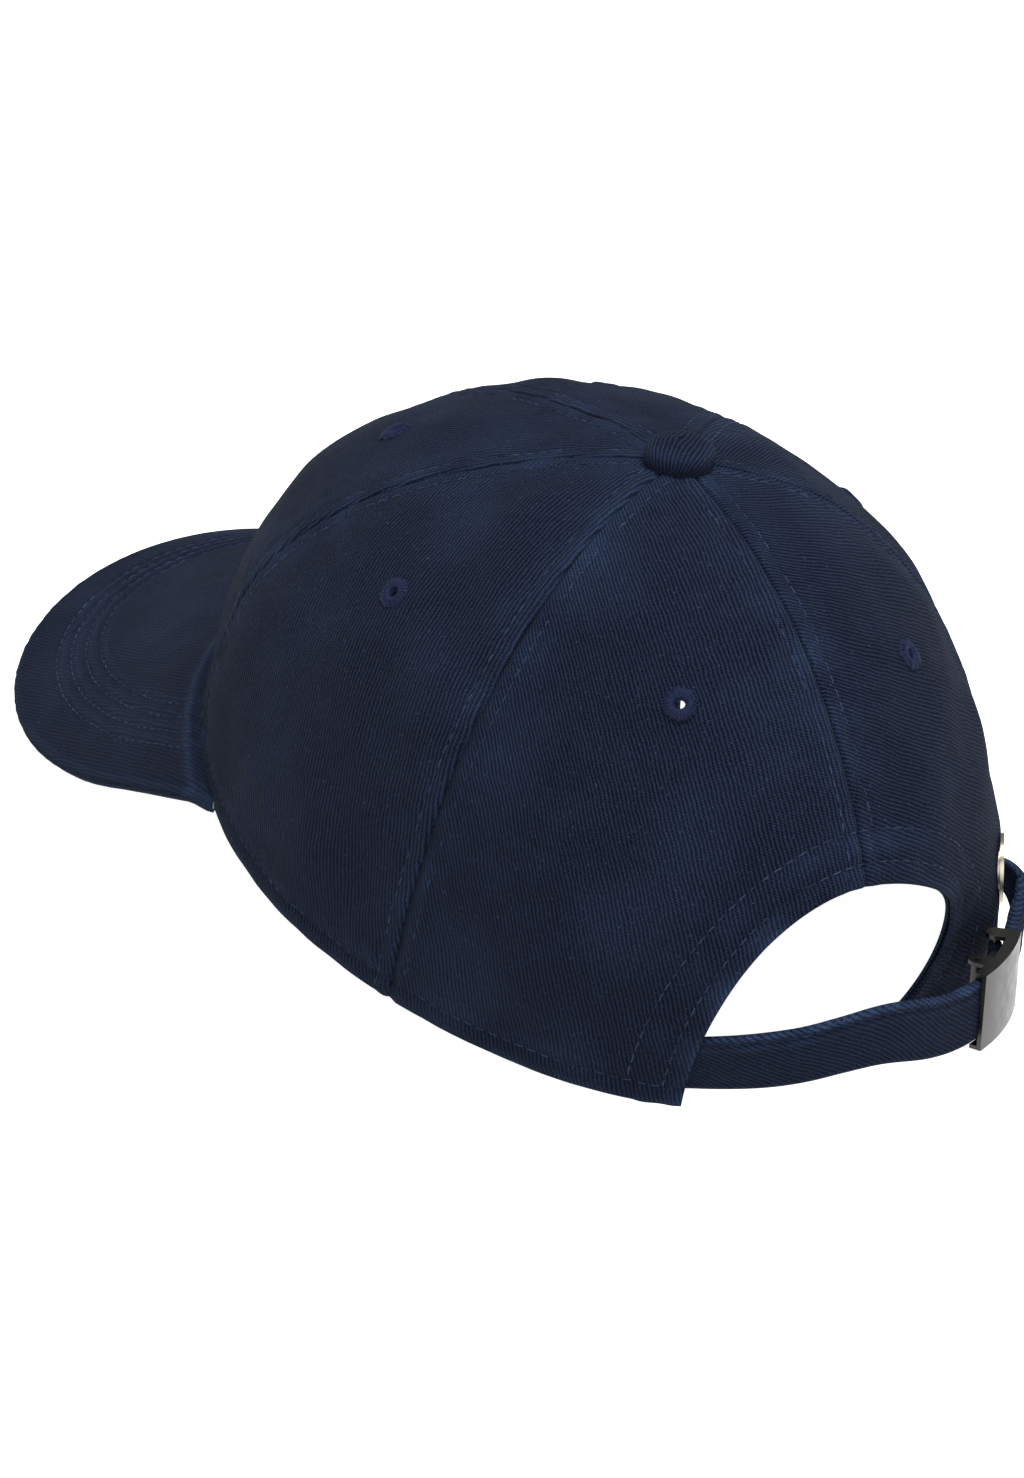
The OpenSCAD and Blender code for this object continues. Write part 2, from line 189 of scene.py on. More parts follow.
def ripple(points, size, seed):
    """A smooth random field, about -1 to 1, with features of that size in mm."""
    rng = np.random.default_rng(seed)
    waves, total = 14, 0
    for _ in range(waves):
        way = unit(rng.normal(size=3)) / (size * rng.uniform(0.75, 1.5))
        total = total + np.cos(2 * np.pi * (points @ way) + rng.uniform(0, 2 * np.pi))
    return total / waves ** 0.5 / 1.2


def bump(x, at, wide):
    """A smooth hump, 1 high at one place and nearly gone twice its width away."""
    return np.exp(-(((x - at) / wide) ** 2))


up_seam = np.linspace(0, 0.99, 110)
seams = [crown(a, up_seam) for a in (0, front_seam, -front_seam, side_seam, -side_seam)]
seams.append(crown(180, np.linspace(arch_top, 0.99, 80)))
round_rim = np.linspace(-180 + arch_half + arch_pull, 180 - arch_half, 220)
rim_line = crown(round_rim, 0)
arch_line = crown(*arch_spot(np.linspace(0, 180, 90)))


def length_along(line):
    """Distance in mm from the first point of a line to each of its points."""
    return np.concatenate([[0], np.cumsum(np.linalg.norm(np.diff(line, axis=0), axis=1))])


def edges_near(points):
    """Distances in mm to the nearest seam, to the rim and to the arch's edge."""
    seam = np.min([off_line(points, s) for s in seams], axis=0)
    return seam, off_line(points, rim_line), off_line(points, arch_line)


def relief(points):
    """How far in mm the cloth stands out at each point, and how much its dye is worn there."""
    seam, rim, arch = edges_near(points)
    pucker = ripple(points, 5.5, 3)
    soft = np.clip(seam / 12, 0, 1) * np.clip(rim / 14, 0, 1) * np.clip(arch / 12, 0, 1)
    # wide sags, dimples in the open cloth and small creases
    out = 0.6 * ripple(points, 52, 1) + (0.16 + 0.42 * soft) * ripple(points, 23, 2)
    out += 0.09 * ripple(points, 8.5, 4)
    # a valley along each seam, the pressed allowance beside it and the groove of its stitches
    out += -0.7 * bump(seam, 0, 0.5) + (0.16 + 0.15 * pucker) * bump(seam, 1.9, 1.2)
    out += -(0.17 + 0.12 * pucker) * bump(seam, needle_gap, 0.6)
    out += 0.17 * pucker * bump(seam, needle_gap + 2.2, 1.8)
    # the hem's fold and its row
    out += (0.3 + 0.12 * pucker) * bump(rim, 1.9, 1.3) - (0.34 + 0.1 * pucker) * bump(rim, hem_row, 0.6)
    out += 0.2 * pucker * bump(rim, hem_row + 2.5, 2.4)
    # the arch's turned edge, its two rows and the puckered strip between them
    for row in arch_rows:
        out += -(0.22 + 0.1 * pucker) * bump(arch, row, 0.6)
    out += 0.18 * (1 + pucker) * bump(arch, 2, 1.4) + 0.26 * pucker * bump(arch, 7.5, 2.8)
    # washing takes the dye off raised edges, in patches
    patch = 0.5 + 0.5 * ripple(points, 11, 6)
    worn = 0.5 * bump(seam, 0.8, 0.5) + 0.3 * bump(seam, 2.4, 1.2) + 0.16 * bump(seam, 6, 3)
    worn += 0.55 * bump(rim, 0, 1.0) + 0.2 * bump(rim, 6.2, 1.6)
    worn += 0.7 * bump(arch, 0.2, 1.1) + 0.35 * bump(arch, 2.6, 1.2) + 0.2 * bump(arch, 8.5, 2.5)
    return out, np.clip(worn * patch + 0.16 * np.clip(ripple(points, 30, 7), 0, 1), 0, 1)


def outer(a, v, rise=0.0):
    """Points on the finished, puckered face of the crown."""
    p = crown(a, v)
    return p + (relief(p)[0] + rise)[..., None] * crown_normal(a, v)


def srgb(code):
    """Linear colour from an sRGB hex code."""
    parts = [int(code[i:i + 2], 16) / 255 for i in (0, 2, 4)]
    return (*[c / 12.92 if c <= 0.04045 else ((c + 0.055) / 1.055) ** 2.4 for c in parts], 1)


def put(tree, kind, links=(), **settings):
    """Adds one node with its settings; links are (socket, value, node or a node's output)."""
    n = tree.nodes.new("ShaderNode" + kind)
    for key, value in settings.items():
        setattr(n, key, value)
    for socket, value in links:
        if isinstance(value, bpy.types.Node):
            value = value.outputs[0]
        if isinstance(value, bpy.types.NodeSocket):
            tree.links.new(value, n.inputs[socket])
        else:
            n.inputs[socket].default_value = value
    return n


def empty_material(name):
    material = bpy.data.materials.new(name)
    material.use_nodes = True
    material.node_tree.nodes.clear()
    return material, material.node_tree


def finish_material(tree, shader):
    put(tree, "OutputMaterial", [("Surface", shader)])


def washed_twill(name, valley, ridge, faded, contrast=1.0):
    """Cotton twill, piece dyed, brushed and stonewashed: steep diagonal ribs about 0.9 mm apart,
    a dry matt face with a soft nap, and dye worn off along folds and seams. The cloth
    coordinates are in mm, so a noise scale of 0.5 gives patches about 2 mm across."""
    wale, float_length = 0.92, 0.66
    material, tree = empty_material(name)
    weave = put(tree, "Attribute", attribute_name="weave").outputs["Vector"]
    worn = put(tree, "Attribute", attribute_name="worn").outputs["Fac"]
    wander = put(tree, "TexNoise", [("Vector", weave), ("Scale", 0.16), ("Detail", 2.0)])
    shake = put(tree, "TexNoise", [("Vector", weave), ("Scale", 1.7), ("Detail", 1.0)])
    nap = put(tree, "TexNoise", [("Vector", weave), ("Scale", 3.2), ("Detail", 3.0), ("Roughness", 0.6)])
    cloud = put(tree, "TexNoise", [
        ("Vector", weave), ("Scale", 0.075), ("Detail", 4.0), ("Roughness", 0.62),
    ])
    axes = put(tree, "SeparateXYZ", [("Vector", weave)])
    drift = put(tree, "Math", [(0, wander), (1, 1.1), (2, axes.outputs["X"])], operation="MULTIPLY_ADD")
    across = put(tree, "Math", [(0, shake), (1, 0.42), (2, drift)], operation="MULTIPLY_ADD")
    turn = put(tree, "Math", [(0, across), (1, 2 * math.pi / wale)], operation="MULTIPLY")
    rib = put(tree, "Math", [(0, turn)], operation="SINE")
    # each rib is a row of short thread floats, lapped like rope
    along = put(tree, "Math", [
        (0, axes.outputs["Y"]), (1, 2 * math.pi / float_length), (2, turn),
    ], operation="MULTIPLY_ADD")
    lap = put(tree, "Math", [(0, along)], operation="SINE")
    laps = put(tree, "Math", [(0, lap), (1, 0.22), (2, 0.5)], operation="MULTIPLY_ADD")
    ribs = put(tree, "Math", [(0, rib), (1, 0.5 * contrast), (2, laps)], operation="MULTIPLY_ADD")
    height = put(tree, "Math", [(0, nap), (1, 1.15), (2, ribs)], operation="MULTIPLY_ADD")
    # the rib height sets the colour: the darker valley colour between the ribs is painted shade, the ridges
    # take the paler one, and the nap adds random tone
    shade = put(tree, "MapRange", [("Value", height), ("From Min", 0.6), ("From Max", 1.6)])
    rib_shade_mix = put(tree, "Mix", [
        ("Factor", shade), ("A", srgb(valley)), ("B", srgb(ridge)),
    ], data_type="RGBA")
    # stonewashing leaves soft clouds and worn folds, paler on the ribs than between them
    clouds = put(tree, "MapRange", [
        ("Value", cloud), ("From Min", 0.42), ("From Max", 0.78), ("To Max", 0.12),
    ])
    wear = put(tree, "Math", [(0, worn), (1, clouds)], operation="ADD", use_clamp=True)
    tips = put(tree, "Math", [(0, shade), (1, 0.65), (2, 0.35)], operation="MULTIPLY_ADD")
    lost = put(tree, "Math", [(0, wear), (1, tips)], operation="MULTIPLY", use_clamp=True)
    washed = put(tree, "Mix", [
        ("Factor", lost), ("A", rib_shade_mix.outputs["Result"]), ("B", srgb(faded)),
    ], data_type="RGBA")
    # pale broken fibres
    fibre = put(tree, "TexNoise", [("Vector", weave), ("Scale", 1.25), ("Detail", 2.0)])
    lint = put(tree, "MapRange", [
        ("Value", fibre), ("From Min", 0.64), ("From Max", 0.78), ("To Max", 0.55),
    ])
    colour = put(tree, "Mix", [
        ("Factor", lint), ("A", washed.outputs["Result"]), ("B", srgb("4C6084")),
    ], data_type="RGBA")
    bumps = put(tree, "Bump", [("Strength", 0.8), ("Distance", 0.3 * MM), ("Height", height)])
    shader = put(tree, "BsdfPrincipled", [
        ("Base Color", colour.outputs["Result"]), ("Normal", bumps), ("Roughness", 0.93),
        ("Specular IOR Level", 0.1), ("Sheen Weight", 0.04), ("Sheen Roughness", 0.45),
        ("Sheen Tint", srgb("B4C2D8")),
    ])
    finish_material(tree, shader)
    return material


# the first colour is the painted shade between the ribs, the second the ridges' colour and the third the worn
# colour
crown_twill = washed_twill("washed_cotton_twill", "060913", "28324D", "3D5174")


def piece(name, verts, faces, material, body, replaces=(), weave=None, worn=None):
    """One closed mesh from points in mm, with its cloth coordinates, riding on a body."""
    mesh = bpy.data.meshes.new(name)
    mesh.from_pydata((np.asarray(verts) * MM).tolist(), [], [list(map(int, f)) for f in faces])
    if weave is not None:
        spots = np.zeros((len(verts), 3), np.float32)
        spots[:, :2] = weave
        mesh.attributes.new("weave", "FLOAT_VECTOR", "POINT").data.foreach_set("vector", spots.ravel())
        levels = np.zeros(len(verts), np.float32) if worn is None else np.asarray(worn, np.float32)
        mesh.attributes.new("worn", "FLOAT", "POINT").data.foreach_set("value", levels)
    bm = bmesh.new()
    bm.from_mesh(mesh)
    bmesh.ops.recalc_face_normals(bm, faces=bm.faces)
    bm.to_mesh(mesh)
    bm.free()
    mesh.polygons.foreach_set("use_smooth", [True] * len(mesh.polygons))
    mesh.materials.append(material)
    obj = bpy.data.objects.new(name, mesh)
    bpy.context.collection.objects.link(obj)
    if body:
        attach(obj, body)
    if replaces:
        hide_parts(*replaces)
    return obj


def sheet_faces(rows, cols, holes):
    """Faces of a closed sheet between two grids of points, with blocks of cells left open."""
    n = rows * cols
    gone = np.zeros((rows - 1, cols - 1), bool)
    border = [(r, c, r, c + 1) for r in (0, rows - 1) for c in range(cols - 1)]
    border += [(r, c, r + 1, c) for c in (0, cols - 1) for r in range(rows - 1)]
    for r0, r1, c0, c1 in holes:
        gone[r0:r1, c0:c1] = True
        border += [(r, c, r, c + 1) for r in (r0, r1) for c in range(c0, c1)]
        border += [(r, c, r + 1, c) for c in (c0, c1) for r in range(r0, r1)]
    r, c = np.nonzero(~gone)
    quad = np.stack([r * cols + c, (r + 1) * cols + c, (r + 1) * cols + c + 1, r * cols + c + 1], 1)
    faces = np.concatenate([quad, quad[:, ::-1] + n]).tolist()
    for r, c, s, d in border:
        faces.append([r * cols + c, s * cols + d, s * cols + d + n, r * cols + c + n])
    return faces


def two_faced(name, face, back, material, body, node, weave=None, worn=None, holes=(), inside=1.0):
    """A closed sheet between two grids of points; inside is how far its back is worn beside its face."""
    verts = np.concatenate([face.reshape(-1, 3), back.reshape(-1, 3)])
    faces = np.array(sheet_faces(*face.shape[:2], holes))
    used, numbered = np.unique(faces, return_inverse=True)
    if weave is not None:
        weave = np.concatenate([weave.reshape(-1, 2)] * 2)[used]
        worn = np.concatenate([worn.ravel(), inside * worn.ravel()])[used]
    return piece(name, verts[used], numbered.reshape(faces.shape), material, body, [node], weave, worn)


def turned_weave(across, up, degrees):
    """Cloth coordinates in mm, with the weave turned by that angle on the cloth."""
    c, s = math.cos(math.radians(degrees)), math.sin(math.radians(degrees))
    return np.stack([across * c + up * s, up * c - across * s], -1)


def spread(n, edge=0.4):
    """n + 1 steps from 0 to 1, closer together at both ends."""
    t = np.linspace(0, 1, n + 1)
    return edge * t + (1 - edge) * (1 - np.cos(np.pi * t)) / 2


def cell_of(grid_a, grid_v, at, size):
    """The block of cells of that many rows and columns round a spot on a panel."""
    per_degree, per_share = 1.2, 150
    gap = ((grid_a - at[0]) * per_degree) ** 2 + ((grid_v - at[1]) * per_share) ** 2
    r, c = np.unravel_index(gap.argmin(), gap.shape)
    return [r - size // 2, r - size // 2 + size, c - size // 2, c - size // 2 + size]


eyelet_spots = {"front": (26.2, 0.586), "side": (80.2, 0.506), "rear": (144.0, 0.519)}
grommet_spot = (-127.3, 0.127)
fold_turns = (25, 50, 75)
panel_rows = 104
pattern_cols, pattern_rows = 80, 60


def panel(name, angles, bottom, twill_angle, holes):
    """One crown panel. holes are (spot, cells left out, radius opened, reach of the push)."""
    up = spread(panel_rows, 0.45)[::-1]
    v = bottom[None, :] + (panel_top - bottom[None, :]) * up[:, None]
    a = np.broadcast_to(angles[None, :], v.shape)
    base, normal = crown(a, v), crown_normal(a, v)
    rise, worn = relief(base)
    face = base + rise[..., None] * normal
    lining = face - cloth * normal
    # the hem: both faces turn into each other round the folded edge
    down = unit(face[-1] - face[-2])
    middle = (face[-1] + lining[-1]) / 2
    half = cloth / 2
    turned = [middle + half * (cosd(t) * normal[-1] + sind(t) * down) for t in fold_turns]
    tucked = [middle + half * (-cosd(t) * normal[-1] + sind(t) * down) for t in fold_turns]
    # flat pattern: width measured out from the middle line, height up the middle
    ring_a = np.linspace(angles[0], angles[-1], pattern_cols + 1)
    ring_v = np.linspace(0, panel_top, pattern_rows + 1)
    rings = crown(ring_a[None, :], ring_v[:, None])
    rings = np.cumsum(np.linalg.norm(np.diff(rings, axis=1, prepend=rings[:, :1]), axis=-1), 1)
    rings -= rings[:, pattern_cols // 2][:, None]
    short = 0.001  # keeps the last row and column inside the table
    at_a = (a - ring_a[0]) / (ring_a[-1] - ring_a[0]) * pattern_cols
    at_a = np.clip(at_a, 0, pattern_cols - short)
    at_v = np.clip(v / panel_top * pattern_rows, 0, pattern_rows - short)
    ia, iv = at_a.astype(int), at_v.astype(int)
    fa, fv = at_a - ia, at_v - iv
    wide = (rings[iv, ia] * (1 - fa) + rings[iv, ia + 1] * fa) * (1 - fv)
    wide += (rings[iv + 1, ia] * (1 - fa) + rings[iv + 1, ia + 1] * fa) * fv
    tall_v = np.linspace(0, 1, 200)
    tall = length_along(crown(angles.mean(), tall_v))
    high = np.interp(v, tall_v, tall)
    extra = len(fold_turns)
    wide = np.concatenate([wide, np.repeat(wide[-1:], extra, 0)])
    high = np.concatenate([high, high[-1] - half * np.arange(1, extra + 1)[:, None]])
    worn = np.concatenate([worn, np.repeat(worn[-1:], extra, 0)])
    face = np.concatenate([face, turned])
    lining = np.concatenate([lining, tucked])
    # each hole is opened by pushing the cloth away from its middle
    far_side = 12
    for spot, _, radius, reach in holes:
        axis = crown_normal(*spot)
        for grid in (face, lining):
            off = grid - crown(*spot)
            depth = off @ axis
            flat = off - depth[..., None] * axis
            r = np.linalg.norm(flat, axis=-1)
            near = (r < reach) & (np.abs(depth) < far_side)
            new = np.sqrt(r ** 2 + (radius * np.clip(1 - r / reach, 0, 1)) ** 2)
            grid[near] += ((new / np.maximum(r, 0.05) - 1)[..., None] * flat)[near]
    made = two_faced(
        f"{name}_cloth", face, lining, crown_twill, "cap", name,
        turned_weave(wide, high, twill_angle), worn, [cell_of(a, v, *h[:2]) for h in holes], 0.3,
    )


vent_push = (1, 2.2, 6.5)
grommet_push = (3, 5.4, 16)
side_cols, foot_share, arch_turn = 76, np.linspace(0, 1, 41), np.linspace(0, 90, 45)
for side, hand in ((1, "left"), (-1, "right")):
    for where, low, high in (("front", 0, front_seam), ("side", front_seam, side_seam)):
        angles = side * (low + (high - low) * spread(side_cols))
        holes = [((side * eyelet_spots[where][0], eyelet_spots[where][1]), *vent_push)]
        panel(f"panel_{where}_{hand}", angles, np.zeros(side_cols + 1), side * 23, holes)
    q = 180 - arch_turn if side > 0 else arch_turn
    edge = side * 180 + arch_reach(q) * cosd(q)
    foot = side * side_seam + (edge[0] - side * side_seam) * (foot_share + sind(90 * foot_share)) / 2
    angles = np.concatenate([foot, edge[1:]])
    bottom = np.concatenate([0 * foot, arch_share(q[1:])])
    holes = [((side * eyelet_spots["rear"][0], eyelet_spots["rear"][1]), *vent_push)]
    if side < 0:
        holes.append((grommet_spot, *grommet_push))
    panel(f"panel_rear_{hand}", angles, bottom, 20 if side > 0 else -55, holes)

# ---------------------------------------------------------------- Stitching on the crown
# Polyester sewing thread, dyed to match and a little paler after washing. Twin needle rows hold
# the pressed seams open, one row holds the hem and sweatband, and two rows hold the arch.
thread_half, stitch_pitch, stitch_length = 0.15, 3.1, 2.5
row_start, row_end = 0.004, 0.93


def sewing_thread():
    """Spun polyester sewing thread: two plies twisted together, with a faint satin sheen."""
    material, tree = empty_material("spun_polyester_thread")
    spots = put(tree, "TexCoord").outputs["Object"]
    ply = put(tree, "TexNoise", [("Vector", spots), ("Scale", 2600.0), ("Detail", 2.0)])
    tone = put(tree, "TexNoise", [("Vector", spots), ("Scale", 160.0), ("Detail", 2.0)])
    shade = put(tree, "MapRange", [("Value", tone), ("From Min", 0.35), ("From Max", 0.72)])
    colour = put(tree, "Mix", [
        ("Factor", shade), ("A", srgb("131B31")), ("B", srgb("43557A")),
    ], data_type="RGBA")
    bumps = put(tree, "Bump", [("Strength", 0.5), ("Distance", 0.06 * MM), ("Height", ply)])
    shader = put(tree, "BsdfPrincipled", [
        ("Base Color", colour.outputs["Result"]), ("Normal", bumps), ("Roughness", 0.7),
        ("Specular IOR Level", 0.2), ("Sheen Weight", 0.05),
    ])
    finish_material(tree, shader)
    return material


thread = sewing_thread()


def tube(points, ups, radii, sides=6):
    """Rings of points round a path, joined into a closed tube."""
    way = unit(np.gradient(points, axis=0))
    side = unit(np.cross(way, ups))
    top = np.cross(side, way)
    turns = 360 * np.arange(sides) / sides
    ring = [points + radii[:, None] * (cosd(t) * side + sind(t) * top) for t in turns]
    verts = np.stack(ring, 1).reshape(-1, 3)
    faces = [
        [k * sides + j, k * sides + (j + 1) % sides, (k + 1) * sides + (j + 1) % sides, (k + 1) * sides + j]
        for k in range(len(points) - 1) for j in range(sides)
    ]
    last = (len(points) - 1) * sides
    faces += [list(range(sides))[::-1], [last + j for j in range(sides)]]
    return verts, faces


def sewn(name, lines, seed):
    """Stitches along each (points, normals) line: short threads that arch up and dive back in."""
    rng = np.random.default_rng(seed)
    verts, faces, count = [], [], 0
    for points, normals in lines:
        run = length_along(points)
        for start in np.arange(0.3, run[-1] - stitch_length, stitch_pitch):
            shift = start + rng.uniform(-0.12, 0.12)
            t = shift + np.linspace(0, stitch_length, 6) * rng.uniform(0.9, 1.04)
            where = np.stack([np.interp(t, run, points[:, i]) for i in range(3)], 1)
            up = unit(np.stack([np.interp(t, run, normals[:, i]) for i in range(3)], 1))
            arch = 1 - np.abs(np.linspace(-1, 1, 6)) ** 3
            sway = rng.uniform(-0.1, 0.1) * np.linspace(-1, 1, 6)
            across = unit(np.cross(up, np.gradient(where, axis=0)))
            where = where + (0.26 * arch - 0.16)[:, None] * up + sway[:, None] * across
            v, f = tube(where, up, thread_half * (0.55 + 0.45 * arch))
            verts.append(v)
            faces += [[i + count for i in face] for face in f]
            count += len(v)
    piece(name, np.concatenate(verts), faces, thread, "cap")


def seam_row(at, off, low):
    """A row beside a seam, off mm away from it round the crown."""
    v = np.linspace(low, row_end, 150)
    per_degree = np.linalg.norm(crown(at + 0.5, v) - crown(at - 0.5, v), axis=-1)
    a = at + off / per_degree
    return outer(a, v), crown_normal(a, v)


rows = []
for at in (0, front_seam, -front_seam, side_seam, -side_seam):
    rows += [seam_row(at, off, row_start) for off in (-needle_gap, needle_gap)]
rows += [seam_row(180, off, arch_top + 0.03) for off in (-needle_gap, needle_gap)]
sewn("crown_seam_stitches", rows, 11)

rim_angles = np.linspace(-180 + arch_half + arch_pull + 3, 180 - arch_half - 3, 500)
slope = np.linalg.norm(crown(rim_angles, 0.02) - crown(rim_angles, 0), axis=-1) / 0.02
hem_share = hem_row / slope
sewn("hem_stitches", [(outer(rim_angles, hem_share), crown_normal(rim_angles, hem_share))], 12)

rows = []
for off in arch_rows:
    a, v = arch_spot(np.linspace(3, 177, 240), off)
    rows.append((outer(a, v), crown_normal(a, v)))
sewn("arch_stitches", rows, 13)

# ---------------------------------------------------------------- Bias tapes and arch facing
# Strips of plain woven cotton, cut on the bias, cover the raw seams inside the crown and turn
# in the raw edge of the back arch. They are held by the same rows of stitching.
tape_depth, tape_thick, tape_half = cloth + 0.15, 0.6, 6.5
tape_start, tape_end, bias = 0.02, 0.8, 45
facing_depth, facing_wide = cloth + 0.6, (10.5, 0.1)


def plain_cotton(name, dark, light):
    """Plain woven cotton tape, 0.7 mm threads over and under, matt and slightly slubbed."""
    material, tree = empty_material(name)
    weave = put(tree, "Attribute", attribute_name="weave").outputs["Vector"]
    axes = put(tree, "SeparateXYZ", [("Vector", weave)])
    size = 2 * math.pi / 0.7
    over = put(tree, "Math", [(0, axes.outputs["X"]), (1, size)], operation="MULTIPLY")
    under = put(tree, "Math", [(0, axes.outputs["Y"]), (1, size)], operation="MULTIPLY")
    warp = put(tree, "Math", [(0, over)], operation="SINE")
    weft = put(tree, "Math", [(0, under)], operation="SINE")
    plain = put(tree, "Math", [(0, warp), (1, weft)], operation="MULTIPLY")
    slub = put(tree, "TexNoise", [("Vector", weave), ("Scale", 0.8), ("Detail", 3.0)])
    height = put(tree, "Math", [(0, plain), (1, 0.3), (2, slub)], operation="MULTIPLY_ADD")
    # the weave's height sets the colour: darker in the hollows between threads as painted shade, while the
    # slub gives random tone
    colour = put(tree, "Mix", [("Factor", height), ("A", srgb(dark)), ("B", srgb(light))], data_type="RGBA")
    bumps = put(tree, "Bump", [("Strength", 0.5), ("Distance", 0.15 * MM), ("Height", height)])
    shader = put(tree, "BsdfPrincipled", [
        ("Base Color", colour.outputs["Result"]), ("Normal", bumps), ("Roughness", 0.94),
        ("Specular IOR Level", 0.15), ("Sheen Weight", 0.12),
    ])
    finish_material(tree, shader)
    return material


# the darker colour is the painted shade in the weave's hollows and the low parts of the slub
tape_cotton = plain_cotton("plain_cotton_tape", "11182C", "2C3856")


def flat_cloth(name, face, back, material):
    """A closed sheet between two grids of points, with cloth coordinates measured along it as it would lie
    flat.
    """
    length = np.cumsum(np.linalg.norm(np.diff(face, axis=0, prepend=face[:1]), axis=-1), 0)
    width = np.cumsum(np.linalg.norm(np.diff(face, axis=1, prepend=face[:, :1]), axis=-1), 1)
    off_end = np.minimum(length, length[-1] - length)
    off_side = np.minimum(width, width[:, -1:] - width)
    worn = 0.4 * bump(np.minimum(off_end, off_side), 0, 1.2)
    made = two_faced(
        f"{name}_cloth", face, back, material, "cap", name, turned_weave(width, length, bias), worn,
    )


def behind(a, v, depth):
    """Points inside the crown, depth mm below its face, that follow only its wide sags."""
    p = crown(a, v)
    level = 0.6 * ripple(p, 52, 1)
    return p + (level - depth)[..., None] * crown_normal(a, v)


def tape(name, at, start):
    """One tape over a seam, the same width all the way up, with a soft swell over the allowance."""
    v = np.linspace(start, tape_end, 70)[:, None]
    centre = crown(at, v[:, 0]) - np.array((0, back_shift, 0))
    centre[:, 1] -= apex_back * sind(90 * v[:, 0])
    half = np.degrees(np.arctan(tape_half / np.hypot(centre[:, 0], centre[:, 1])))[:, None]
    across = np.linspace(-1, 1, 15)
    a = at + across * half
    v = np.broadcast_to(v, a.shape)
    puff = 0.25 * bump(np.abs(across), 0.28, 0.2) * (1 + 0.4 * ripple(crown(a, v), 6, 21))
    flat_cloth(
        name, behind(a, v, tape_depth - 0.1), behind(a, v, tape_depth + tape_thick + puff),
        tape_cotton,
    )


tape("tape_front", 0, tape_start)
for where, at in (("front", front_seam), ("side", side_seam)):
    tape(f"tape_{where}_left", at, tape_start)
    tape(f"tape_{where}_right", -at, tape_start)
tape("tape_back", 180, arch_top + facing_wide[1] + tape_start)

across = np.linspace(0, 1, 15)[:, None]
round_arch = np.linspace(0, 180, 120)[None, :]
facing_a = 180 + (arch_reach(round_arch) + facing_wide[0] * across) * cosd(round_arch)
facing_v = np.maximum(arch_share(round_arch) + facing_wide[1] * across * sind(round_arch), 0.004)
facing_puff = 0.2 * np.sin(np.pi * across) ** 2 * (1 + 0.5 * ripple(crown(facing_a, facing_v), 7, 22))
flat_cloth(
    "arch_facing", behind(facing_a, facing_v, facing_depth),
    behind(facing_a, facing_v, facing_depth + tape_thick + facing_puff), crown_twill,
)

# ---------------------------------------------------------------- Sweatband
# A folded band of plain cotton, sewn along the rim and left free at its upper edge, so it
# leans in towards the head. One row of stitching runs along its fold.
# the darker colour is the painted shade in the weave's hollows and the low parts of the slub
sweatband_cotton = plain_cotton("plain_cotton_sweatband", "10172A", "27334F")
band_depth, band_thick, band_lean, band_height, band_end = cloth + 1.1, 1.0, 5.0, 28.0, 139.0
band_start, fold_row, band_rows = 0.4, 24.2, 26

band_a = np.linspace(-band_end, band_end, 300)[None, :]
band_s = np.linspace(0, 1, band_rows)[:, None]
band_rise = band_start + (band_height - band_start) * band_s
band_v = np.degrees(np.arcsin(band_rise / (crown_height - rim_z(band_a)))) / 90
band_a = np.broadcast_to(band_a, band_v.shape)
band_at = crown(band_a, band_v)
band_wave = 0.7 * band_s ** 2 * ripple(band_at, 26, 31) + 0.12 * ripple(band_at, 7, 32)
band_up = band_s * band_height
band_roll = 0.25 * bump(band_up, 1.6, 1.4) - 0.3 * bump(band_up, hem_row, 0.6)
band_roll = band_roll + 0.3 * bump(band_up, 27, 1.4) - 0.25 * bump(band_up, fold_row, 0.6)
band_in = band_depth + band_lean * band_s + np.maximum(band_wave, -0.4)
flat_cloth(
    "sweatband", behind(band_a, band_v, band_in), behind(band_a, band_v, band_in + band_thick + band_roll),
    sweatband_cotton,
)
stitch_at = int(fold_row / band_height * (band_rows - 1))
band_row = behind(band_a, band_v, band_in + band_thick - 0.1)[stitch_at]
sewn("sweatband_stitches", [(band_row, -crown_normal(band_a[stitch_at], band_v[stitch_at]))], 14)

# ---------------------------------------------------------------- Eyelets
# Six vent holes, each worked round with satin stitches in a slightly bluer thread. The
# threads run out of the hole and over a raised edge, and end unevenly on the cloth.
eyelet_hole, eyelet_reach, eyelet_threads = 1.2, 3.5, 46


def eyelet_silk():
    """Bright polyester embroidery thread, laid side by side, with a silky sheen."""
    material, tree = empty_material("polyester_embroidery_thread")
    spots = put(tree, "TexCoord").outputs["Object"]
    tone = put(tree, "TexNoise", [("Vector", spots), ("Scale", 900.0), ("Detail", 3.0)])
    colour = put(tree, "Mix", [
        ("Factor", tone), ("A", srgb("0A1026")), ("B", srgb("20305A")),
    ], data_type="RGBA")
    bumps = put(tree, "Bump", [("Strength", 0.4), ("Distance", 0.05 * MM), ("Height", tone)])
    shader = put(tree, "BsdfPrincipled", [
        ("Base Color", colour.outputs["Result"]), ("Normal", bumps), ("Roughness", 0.6),
        ("Specular IOR Level", 0.2), ("Sheen Weight", 0.04),
    ])
    finish_material(tree, shader)
    return material


silk = eyelet_silk()


def eyelet_height(r):
    """Height in mm of the worked edge above the cloth, r mm from the middle of the hole."""
    s = np.clip((r - eyelet_hole) / (eyelet_reach + 0.3 - eyelet_hole), 0, 1)
    return 0.15 + 0.75 * np.sin(np.pi * s ** 0.75) * (1 - 0.25 * s)


